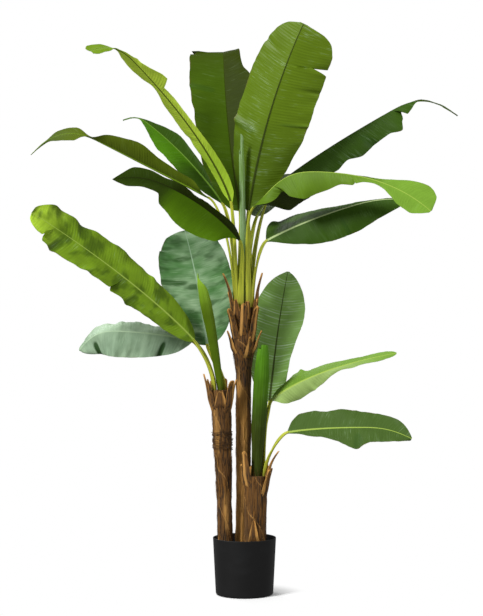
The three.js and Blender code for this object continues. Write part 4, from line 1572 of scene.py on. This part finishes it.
LEAVES = (
    Leaf(
        "top_upright_right", "top", 9, (0.012, 0.010, 1.200), 315, 78, 0.608, 0.262, (20, 20), 3.8,
        Slot.BRIGHT,
        LeafSkin(
            # The darker start paints shade over the lower part of the blade.
            "upright_right", Green.WILLOW, Green.WILLOW, start=Green.TEA, start_to=0.45, rib=Green.RIB_SHADOW,
            gloss=0.34, polish=0.2, painted_sheen=0.62,
        ),
        droop=15, swing=22, roll=-65, twist=-18, pleat=0.0003, wave=0.006,
        left=((0, 5), (10, 52), (25, 96), (50, 128), (75, 131), (88, 128), (95, 110), (98.5, 76), (100, 12)),
        right=((0, 5), (10, 55), (30, 108), (50, 122), (70, 117), (84, 106), (92, 88), (97.5, 56), (100, 12)),
        tears=(Tear(Half.LEFT, 0.775, 0.47, 0.020, 0.010),),
        creases=(
            Crease(Half.RIGHT, 0.40, -0.010, 0.020), Crease(Half.LEFT, 0.66, 0.005, 0.012),
            Crease(Half.LEFT, 0.47, -0.004, 0.008), Crease(Half.RIGHT, 0.82, 0.006, 0.014),
        ),
    ),
    Leaf(
        "top_upright_back", "top", 117, (-0.014, 0.060, 1.205), 122, 73, 0.690, 0.232, (18, 18), 3.5,
        Slot.DEEP,
        LeafSkin(
            "upright_back", Green.OLIVE, Green.SHADE, end=Green.SHADE, rib=Green.RIB_SHADOW, polish=0.05,
            seed=1.0,
        ),
        droop=4, nod=125, nod_from=0.72, swing=-34, roll=-32, twist=34, widest=0.5, pleat=0.0003, wave=0.009,
        fold_tip=(2, 12), fold_change=(0.5, 0.76),
        right=(
            (0, 5), (10, 58), (25, 98), (45, 116), (56, 108), (64, 97), (69, 80), (73, 62), (78, 56),
            (90, 52), (96, 36), (100, 8),
        ),
        tears=(Tear(Half.LEFT, 0.82, 0.25, 0.008),),
        creases=(
            Crease(Half.LEFT, 0.45, 0.010, 0.030), Crease(Half.LEFT, 0.6, -0.006, 0.015),
            Crease(Half.RIGHT, 0.5, 0.009, 0.02),
        ),
    ),
    Leaf(
        "top_left_high", "top", 213, (-0.042, -0.008, 1.228), 208, 79, 0.696, 0.130, (6, 6), 3.0,
        Slot.BRIGHT,
        LeafSkin(
            "left_high", Green.PALE, Green.PALE, start=Green.YOUNG, start_to=0.35, end=Green.MOSS,
            end_from=0.82, end_to=0.9, rib=Green.RIB_SHADOW, gloss=0.72, bump=0.0001, seed=2.0,
        ),
        droop=42, bend=0.38, nod=58, nod_from=0.76, roll=16, twist=-8, wave=0.003,
        fold_tip=(-34, 34), fold_change=(0.82, 0.93),
        left=(
            (0, 6), (5, 26), (15, 32), (30, 27), (42, 22), (60, 22), (61.8, 22), (63.2, 60), (72, 34),
            (79, 14), (87, 8), (92, 36), (98, 40), (100, 24),
        ),
        right=(
            (0, 6), (6, 26), (20, 36), (42, 48), (52, 44), (61, 22), (63.5, 20), (68, 38), (75, 48),
            (81, 40), (87, 14), (92, 36), (98, 40), (100, 24),
        ),
        creases=(Crease(Half.LEFT, 0.74, 0.004, 0.012), Crease(Half.RIGHT, 0.3, 0.004, 0.02)),
    ),
    Leaf(
        "top_left_long", "top", 181, (-0.112, 0.022, 1.245), 178, 27, 0.632, 0.130, (55, 35), 1.5,
        Slot.DARK,
        LeafSkin(
            "left_long", Green.BRONZE, Green.BRONZE, end=Green.SLATE, end_from=0.66, rib=Green.MOSS,
            gloss=0.72, bump=0.0001, seed=3.0,
        ),
        nod=72, fold_tip=(-42, 38), fold_change=(0.58, 0.74), wave=0.003,
        left=(
            (0, 5), (10, 30), (20, 36), (30, 46), (42, 65), (52, 53), (60, 35), (67, 9), (75, 40), (83, 30),
            (90, 5), (100, 1.5),
        ),
        right=((0, 5), (15, 34), (40, 48), (60, 28), (67, 8), (75, 38), (83, 28), (90, 4), (100, 1.5)),
    ),
    Leaf(
        "top_left_back", "top", 149, (-0.070, 0.076, 1.230), 145, 50, 0.520, 0.150, (5, 35), 1.6,
        Slot.DEEP,
        LeafSkin(
            # The right half is a shaded copy: painted shade.
            "left_back", Green.LEAF, Green.BOTTLE, start=Green.BOTTLE, start_to=0.4, rib=Green.FERN,
            polish=0.06, seed=4.0,
        ),
        droop=20, nod=44, nod_from=0.78, roll=-18, fold_tip=(5, 25), wave=0.003,
        left=((0, 5), (15, 55), (35, 78), (50, 76), (65, 54), (78, 26), (86, 7), (100, 1.5)),
        right=((0, 5), (10, 22), (30, 27), (45, 35), (56, 42), (66, 34), (76, 18), (86, 5), (100, 1.5)),
    ),
    Leaf(
        "top_left_front", "top", 249, (-0.014, -0.028, 1.107), 216, 49, 0.512, 0.165, (0, -58), 2.0,
        Slot.DEEP,
        LeafSkin(
            # The left half is a shaded copy and the right half a lit one: painted shade and painted light
            # shining through.
            "left_front", Green.SHADE, Green.TENDER, end=Green.OLIVE, end_from=0.5, end_to=0.64,
            rib=Green.RIB_SHADOW, seed=5.0,
        ),
        droop=40, bend=0.6, nod=20, fold_tip=(46, -46), fold_change=(0.45, 0.66), wave=0.003,
        left=((0, 5), (15, 40), (35, 45), (55, 36), (66, 24), (78, 34), (87, 38), (95, 20), (100, 3)),
        right=(
            (0, 5), (10, 60), (25, 90), (38, 96), (50, 80), (59, 64), (64, 36), (75, 32), (87, 34),
            (95, 18), (100, 3),
        ),
    ),
    Leaf(
        "top_right_long", "top", 43, (0.098, 0.052, 1.285), 8, 42, 0.685, 0.150, (-20, -75), 1.6,
        Slot.DARK,
        LeafSkin(
            "right_long", Green.SHADE, Green.BOTTLE, end=Green.SLATE, end_from=0.78, rib=Green.RIB_SHADOW,
            painted_sheen=0.3, seed=6.0,
        ),
        droop=15, bend=0.4, nod=62, nod_from=0.65, fold_tip=(-10, -50), wave=0.006, waves=5.0,
        left=((0, 5), (12, 50), (40, 60), (65, 40), (79, 4), (92, 5), (100, 1.5)),
        right=(
            (0, 5), (6, 40), (14, 66), (28, 80), (34, 68), (42, 84), (50, 74), (58, 70), (64, 84),
            (67.2, 52), (70, 47), (74, 32), (79, 6), (86, 4), (92, 7), (100, 1.5),
        ),
        tears=(Tear(Half.RIGHT, 0.656, 0.60, 0.020, 0.008),),
        creases=(Crease(Half.RIGHT, 0.3, 0.010, 0.02), Crease(Half.RIGHT, 0.46, -0.008, 0.02)),
    ),
    Leaf(
        "top_right_back", "top", 80, (0.040, 0.105, 1.190), 62, 40, 0.430, 0.150, (6, 6), 1.8,
        Slot.DEEP,
        LeafSkin("right_back_high", Green.FOREST, Green.FOREST, seed=7.0),
        droop=30, nod=20, creases=(Crease(Half.LEFT, 0.5, 0.006, 0.02),),
    ),
    Leaf(
        "top_right_front", "top", 303, (0.026, -0.038, 1.209), 340, 45, 0.632, 0.150, (-64, -66), 3.0,
        Slot.FRESH,
        LeafSkin(
            "right_front", Green.SHADE, Green.CLOVER, end=Green.MEADOW, end_from=0.5, end_to=0.8,
            mottle=0.5, seed=8.0,
        ),
        droop=48, bend=1.8, nod=39, nod_from=0.1, nod_to=0.38, roll=5, twist=40, fold_tip=(0, 0), wave=0.004,
        left=(
            (0, 5), (5, 60), (12, 100), (28, 106), (36, 86), (50, 44), (60, 22), (68, 18), (75, 34),
            (83, 64), (90, 80), (96, 62), (100, 8),
        ),
        right=(
            (0, 5), (4, 34), (12, 38), (16, 34), (20, 62), (26, 78), (33, 86), (40, 70), (46, 56), (53, 36),
            (58, 34), (64, 18), (69, 15), (74, 22), (80, 42), (87, 62), (93, 60), (97, 36), (100, 8),
        ),
        tears=(Tear(Half.RIGHT, 0.15, 0.55, 0.022, 0.012), Tear(Half.RIGHT, 0.56, 0.25, 0.010, 0.004)),
    ),
    Leaf(
        "top_right_low", "top", 336, (0.069, 0.008, 1.108), 350, 32, 0.470, 0.175, (-26, -26), 1.6,
        Slot.DARK,
        LeafSkin("right_low_high", Green.BOTTLE, Green.BOTTLE, rib=Green.RIB_PALE, polish=0.1, seed=9.0),
        droop=20, bend=0.5, nod=16, roll=52, wave=0.004,
        left=((0, 6), (4, 60), (9, 102), (18, 98), (32, 72), (50, 44), (65, 28), (82, 14), (100, 2)),
        right=(
            (0, 6), (8, 30), (20, 60), (32, 80), (45, 89), (57, 87), (70, 74), (83, 52), (93, 28), (100, 3),
        ),
        creases=(Crease(Half.RIGHT, 0.35, 0.006, 0.02), Crease(Half.RIGHT, 0.52, -0.005, 0.015)),
    ),
    Leaf(
        "left_long", "left", 200, (-0.158, -0.020, 0.796), 195, 49, 0.642, 0.176, (2, 2), 3.0,
        Slot.BRIGHT,
        LeafSkin(
            # The yellow-green end is painted light on the tip.
            "left_trunk_long", Green.MOSS, Green.MOSS, end=Green.YOUNG, end_from=0.8, dark_patches=0.8,
            patch=Green.OLIVE, fold_shade=0.85, painted_sheen=0.25, mottle=0.9, seed=10.0,
        ),
        droop=17, bend=0.5, roll=-50, wave=0.009, waves=4.0,
        tears=(Tear(Half.LEFT, 0.87, 0.4, 0.014, 0.010), Tear(Half.LEFT, 0.46, 0.22, 0.010, 0.008)),
        creases=(
            Crease(Half.LEFT, 0.80, -0.012, 0.02), Crease(Half.RIGHT, 0.72, -0.010, 0.03),
            Crease(Half.RIGHT, 0.9, 0.012, 0.04), Crease(Half.LEFT, 0.6, 0.010, 0.03),
            Crease(Half.RIGHT, 0.3, 0.008, 0.02), Crease(Half.LEFT, 0.35, -0.008, 0.02),
        ),
    ),
    Leaf(
        "left_low", "left", 150, (-0.164, 0.019, 0.792), 172, 18, 0.390, 0.168, (-30, -30), 2.0,
        Slot.BLUE,
        LeafSkin(
            # Its pale MIST base and pale patches are partly the cloth's own tone and partly painted sheen.
            "left_trunk_low", Green.MIST, Green.MIST, rib=Green.FROST, sheen_patches=0.45, dark_patches=0.3,
            fold_shade=0.95, painted_sheen=0.35, mottle=0.7, seed=11.0,
        ),
        droop=20, bend=0.5, nod=50, roll=-50, widest=0.6, wave=0.008, waves=4.0,
        creases=(
            Crease(Half.LEFT, 0.22, -0.014, 0.022), Crease(Half.LEFT, 0.84, -0.012, 0.025),
            Crease(Half.LEFT, 0.5, 0.008, 0.03), Crease(Half.RIGHT, 0.6, 0.006, 0.03),
        ),
    ),
    Leaf(
        "left_back", "left", 75, (-0.118, 0.052, 0.779), 105, 60, 0.495, 0.232, (4, 4), 2.4,
        Slot.BLUE,
        LeafSkin(
            "left_trunk_back", Green.SEA, Green.SEA, rib=Green.MIST, sheen_patches=0.55, dark_patches=0.8,
            fold_shade=0.8, painted_sheen=0.4, mottle=0.5, seed=12.0,
        ),
        droop=20, roll=-15, widest=0.5, pleat=0.0004, wave=0.011, waves=4.5,
        creases=(
            Crease(Half.LEFT, 0.75, 0.012, 0.03), Crease(Half.RIGHT, 0.8, 0.012, 0.04),
            Crease(Half.LEFT, 0.5, -0.010, 0.025),
        ),
    ),
    Leaf(
        "right_back", "right", 75, (0.080, 0.062, 0.598), 66, 77, 0.445, 0.168, (6, 6), 2.6,
        Slot.FRESH,
        LeafSkin(
            "right_trunk_back", Green.IVY, Green.IVY, rib=Green.RIB_SHADOW, crest_sheen=0.7, painted_sheen=0.6,
            mottle=0.5, seed=13.0,
        ),
        droop=14, roll=24, pleat=0.0006,
        left=((0, 5), (12, 55), (30, 80), (50, 88), (70, 82), (82, 67), (92, 42), (100, 3)),
        right=(
            (0, 5), (10, 42), (20, 48), (30, 50), (40, 57), (50, 66), (60, 76), (70, 77), (80, 68),
            (90, 48), (97, 22), (100, 3),
        ),
    ),
    Leaf(
        "right_middle", "right", 40, (0.084, -0.002, 0.606), 350, 58, 0.425, 0.140, (-10, -66), 2.0,
        Slot.FRESH,
        LeafSkin("right_trunk_middle", Green.FERN, Green.PISTACHIO, end=Green.FERN, end_from=0.45, seed=14.0),
        droop=48, bend=0.3, roll=30, fold_tip=(-10, -12), wave=0.003,
        left=(
            (0, 5), (10, 50), (17, 74), (22, 94), (27, 90), (32, 72), (40, 66), (50, 55), (60, 40),
            (80, 34), (92, 26), (98, 12), (100, 3),
        ),
        right=(
            (0, 5), (6, 34), (12, 44), (20, 50), (30, 45), (40, 35), (50, 19), (58, 13), (68, 18), (75, 16),
            (84, 19), (93, 14), (98, 10), (100, 3),
        ),
        creases=(Crease(Half.LEFT, 0.24, 0.008, 0.02), Crease(Half.RIGHT, 0.3, 0.005, 0.02)),
    ),
    Leaf(
        "right_low", "right", 340, (0.133, -0.045, 0.510), 345, 12, 0.395, 0.142, (8, 8), 2.6,
        Slot.DEEP,
        LeafSkin("right_trunk_low", Green.FOREST, Green.FOREST, painted_sheen=0.25, seed=15.0),
        droop=14, bend=0.5, nod=22, roll=42, wave=0.006,
        left=(
            (0, 5), (3, 45), (9, 66), (20, 72), (28, 64), (40, 70), (60, 62), (75, 54), (86, 42), (94, 24),
            (100, 2),
        ),
        right=(
            (0, 5), (10, 16), (20, 34), (30, 42), (40, 62), (50, 86), (57, 100), (63, 88), (70, 68),
            (80, 52), (90, 38), (96, 18), (100, 2),
        ),
        creases=(Crease(Half.RIGHT, 0.57, -0.008, 0.03), Crease(Half.LEFT, 0.5, 0.004, 0.02)),
    ),
)

ROLLED = (
    RolledLeaf(
        "top", (-0.011, -0.022, 1.440), ((0, 0.013), (0.35, 0.012), (0.6, 0.010), (0.85, 0.009), (1, 0.007)),
        LeafSkin(
            "spear", Green.IVY, Green.IVY, Green.FERN, under=Green.FERN, sheen_patches=0.5, crest_sheen=0.8, vein=0.024,
            seed=20.0,
        ),
    ),
    RolledLeaf(
        "left", (-0.141, -0.024, 1.005),
        ((0, 0.011), (0.15, 0.012), (0.4, 0.016), (0.6, 0.019), (0.75, 0.020), (0.9, 0.015), (1, 0.006)),
        LeafSkin(
            "left_spear", Green.TEA, Green.TEA, Green.SPRING, under=Green.SPRING, under_share=0.6,
            mottle=0.7, seed=21.0,
        ),
        start=124.0, cut=0.2,
    ),
    RolledLeaf(
        "right", (0.058, -0.026, 0.782),
        ((0, 0.018), (0.2, 0.020), (0.38, 0.026), (0.75, 0.027), (0.92, 0.022), (1, 0.015)),
        LeafSkin(
            "right_spear", Green.SHADE, Green.SHADE, Green.LEAF, under=Green.OLIVE, under_share=0.6,
            end_from=0.3, mottle=0.8, seed=22.0,
        ),
        cut=0.03,
    ),
)


# ------------------------------------------------------------------ the plant


@dataclass(frozen=True)
class Stem:
    """One trunk with its bark, loose fibres, sheath stubs, leaves and rolled leaf."""

    trunk: Trunk
    husk: bpy.types.Material
    stalk: bpy.types.Material
    strands: LooseStrands
    strand_density: float = 4200.0
    strand_length: float = 0.055
    strand_radius: float = 0.00035
    strand_tilt: float = 0.22
    wrap_lift: float = 0.0012
    wrap_thickness: float = 0.0007
    wrap_rise: float = 0.012
    wrap_turns: float = 0.45
    wrap_tilt: float = 0.30

    def build(self) -> None:
        """Make every piece of the stem."""
        name = self.trunk.name
        bark = self.trunk.shape().made(f"bark_{name}", self.husk)
        dress(bark, [f"trunk_{name}"])
        self.grow_strands(bark)
        if self.trunk.wraps:
            self.wind_wrap()
        for stub in SHEATHS + COLLARS:
            if stub.name.startswith(name):
                made = stub.shape(self.trunk).made(f"stub_{stub.name}", self.husk)
                dress(made, [] if isinstance(stub, Collar) else [f"sheath_{stub.name}"])
        for leaf in LEAVES:
            if leaf.trunk == name:
                self.grow_leaf(leaf)
        rolled = next(leaf for leaf in ROLLED if leaf.name == name)
        made = rolled.shape(self.trunk).made(f"rolled_{name}", rolled.skin.material())
        dress(made, [f"rolled_leaf_{name}"])

    def grow_strands(self, bark: bpy.types.Object) -> None:
        """Lay loose strands over the bark.

        Args:
            bark: The trunk's bark.
        """
        values = {
            "Density": self.strand_density,
            "Length": self.strand_length,
            "Radius": self.strand_radius,
            "Tilt": self.strand_tilt,
            "Seed": len(self.trunk.name),
            "Material": self.husk,
        }
        dress(self.strands.run(f"bark_strands_{self.trunk.name}", bark.data, values), [])

    def wind_wrap(self) -> None:
        """Wind tangled strands round a stretch of the trunk."""
        low, high = self.trunk.wrapped
        heights = np.linspace(low, high, self.trunk.wraps)
        mesh = bpy.data.meshes.new("wrap_points")
        mesh.from_pydata(self.trunk.centre(heights).tolist(), [], [])
        values = {
            "Radius": float(self.trunk.radius(low)) + self.wrap_lift,
            "Thickness": self.wrap_thickness,
            "Rise": self.wrap_rise,
            "Turns": self.wrap_turns,
            "Tilt": self.wrap_tilt,
            "Material": self.husk,
        }
        dress(WrapStrands().run(f"bark_wrap_{self.trunk.name}", mesh, values), [])

    def grow_leaf(self, leaf: Leaf) -> None:
        """Make a leaf's blade and its stalk."""
        blade = leaf.shape().made(f"leaf_{leaf.name}", leaf.skin.material(), crease=65.0)
        dress(blade, [f"blade_{leaf.name}"])
        stalk = Stalk(leaf, self.trunk).shape().made(f"petiole_{leaf.name}", self.stalk)
        dress(stalk, [f"stalk_{leaf.name}"])


class LampKind(Enum):
    """The kinds of light."""

    SUN = "SUN"
    PANEL = "AREA"


@dataclass(frozen=True)
class Lamp:
    """A light that looks at the middle of the plant. Size is a sun's angle, or a panel's side in metres."""

    name: str
    kind: LampKind
    place: Point
    power: float
    size: float
    target: Point = (0.0, 0.0, 1.0)

    def hang(self) -> None:
        """Put the light in the scene."""
        data = bpy.data.lights.new(self.name, self.kind.value)
        data.energy = self.power
        if self.kind is LampKind.SUN:
            data.angle = self.size
        else:
            data.shape = "SQUARE"
            data.size = self.size
        lamp = placed(self.name, data)
        lamp.location = self.place
        lamp.rotation_euler = (Vector(self.target) - Vector(self.place)).to_track_quat("-Z", "Y").to_euler()


@dataclass(frozen=True)
class Studio:
    """The white floor and surroundings, the soft lights and the camera."""

    camera_place: Point = (-0.0094, -5.0, 0.8966)
    view_height: float = 1.932
    sensor: float = 36.0
    far: float = 200.0
    ambient: float = 0.34
    floor_half: float = 60.0
    floor_dark: Colour = (0.93, 0.93, 0.93, 1.0)
    floor_light: Colour = (0.95, 0.95, 0.95, 1.0)
    shadow_from: float = 0.098
    shadow_to: float = 0.21
    lamps: tuple[Lamp, ...] = (
        Lamp("key", LampKind.SUN, (-2.4, -2.2, 3.6), 3.3, 0.30),
        Lamp("side", LampKind.PANEL, (3.0, -1.8, 2.4), 46.0, 1.6),
        Lamp("back", LampKind.PANEL, (-1.6, 2.6, 3.0), 60.0, 1.8),
    )

    def build(self) -> None:
        """Set the stage."""
        self.lay_floor()
        for lamp in self.lamps:
            lamp.hang()
        self.light_world()
        bpy.context.scene.view_settings.view_transform = "Standard"
        self.place_camera()

    def light_world(self) -> None:
        """A soft even light from all round, in front of plain white."""
        world = bpy.data.worlds.new("studio")
        world.use_nodes = True
        nodes = Nodes(world.node_tree)
        nodes.tree.nodes.clear()
        lit = nodes.node("ShaderNodeBackground", {}, {"Color": WHITE, "Strength": self.ambient})
        white = nodes.node("ShaderNodeBackground", {}, {"Color": WHITE})
        seen = nodes.node("ShaderNodeLightPath", {}, {}).outputs["Is Camera Ray"]
        sockets = {0: seen, 1: lit.outputs["Background"], 2: white.outputs["Background"]}
        either = nodes.node("ShaderNodeMixShader", {}, sockets)
        nodes.node("ShaderNodeOutputWorld", {}, {"Surface": either.outputs["Shader"]})
        bpy.context.scene.world = world

    def lay_floor(self) -> None:
        """A wide white floor that is matt under the pot and glows white further out."""
        half = self.floor_half
        corners = [(-half, -half, 0.0), (half, -half, 0.0), (half, half, 0.0), (-half, half, 0.0)]
        shader = Shader("studio_floor")
        cloud = shader.noise(shader.place(), (1.0, 1.0, 1.0), 2.0)
        colour = shader.mix(cloud, self.floor_dark, self.floor_light)
        material = shader.finish(colour, 0.9, cloud, 0.0)
        x, y, z = shader.parts(shader.place())
        apart = ((x * x + y * y + z * z) ** 0.5).rising(self.shadow_from, self.shadow_to)
        glow = shader.node("ShaderNodeEmission", {}, {"Color": WHITE, "Strength": 1.0})
        matt, end = (
            next(node for node in shader.tree.nodes if node.type == kind)
            for kind in ("BSDF_PRINCIPLED", "OUTPUT_MATERIAL")
        )
        sockets = {0: apart, 1: matt.outputs["BSDF"], 2: glow.outputs["Emission"]}
        blend = shader.node("ShaderNodeMixShader", {}, sockets)
        shader.tree.links.new(blend.outputs["Shader"], end.inputs["Surface"])
        floor = Shape(np.array(corners), [[0, 1, 2, 3]]).made("studio_floor", material)
        floor.visible_diffuse = False
        floor.visible_glossy = False

    def place_camera(self) -> None:
        """A level camera in front, which shows view_height at the plant."""
        data = bpy.data.cameras.new("camera")
        data.sensor_width = self.sensor
        data.lens = self.sensor / 2 / (self.view_height / 2 / -self.camera_place[1])
        data.clip_end = self.far
        camera = placed("camera", data)
        camera.location = self.camera_place
        camera.rotation_euler = (math.pi / 2, 0.0, 0.0)
        bpy.context.scene.camera = camera


def main() -> None:
    """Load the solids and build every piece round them."""
    logging.basicConfig(level=logging.INFO, format="%(name)s %(message)s")
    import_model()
    Studio().build()
    Pot().build()
    husk = HuskSkin("husk").material()
    stalk = StalkSkin("stalk").material()
    strands = LooseStrands()
    for trunk in TRUNKS:
        Stem(trunk, husk, stalk, strands).build()


if __name__ == "__main__":
    main()
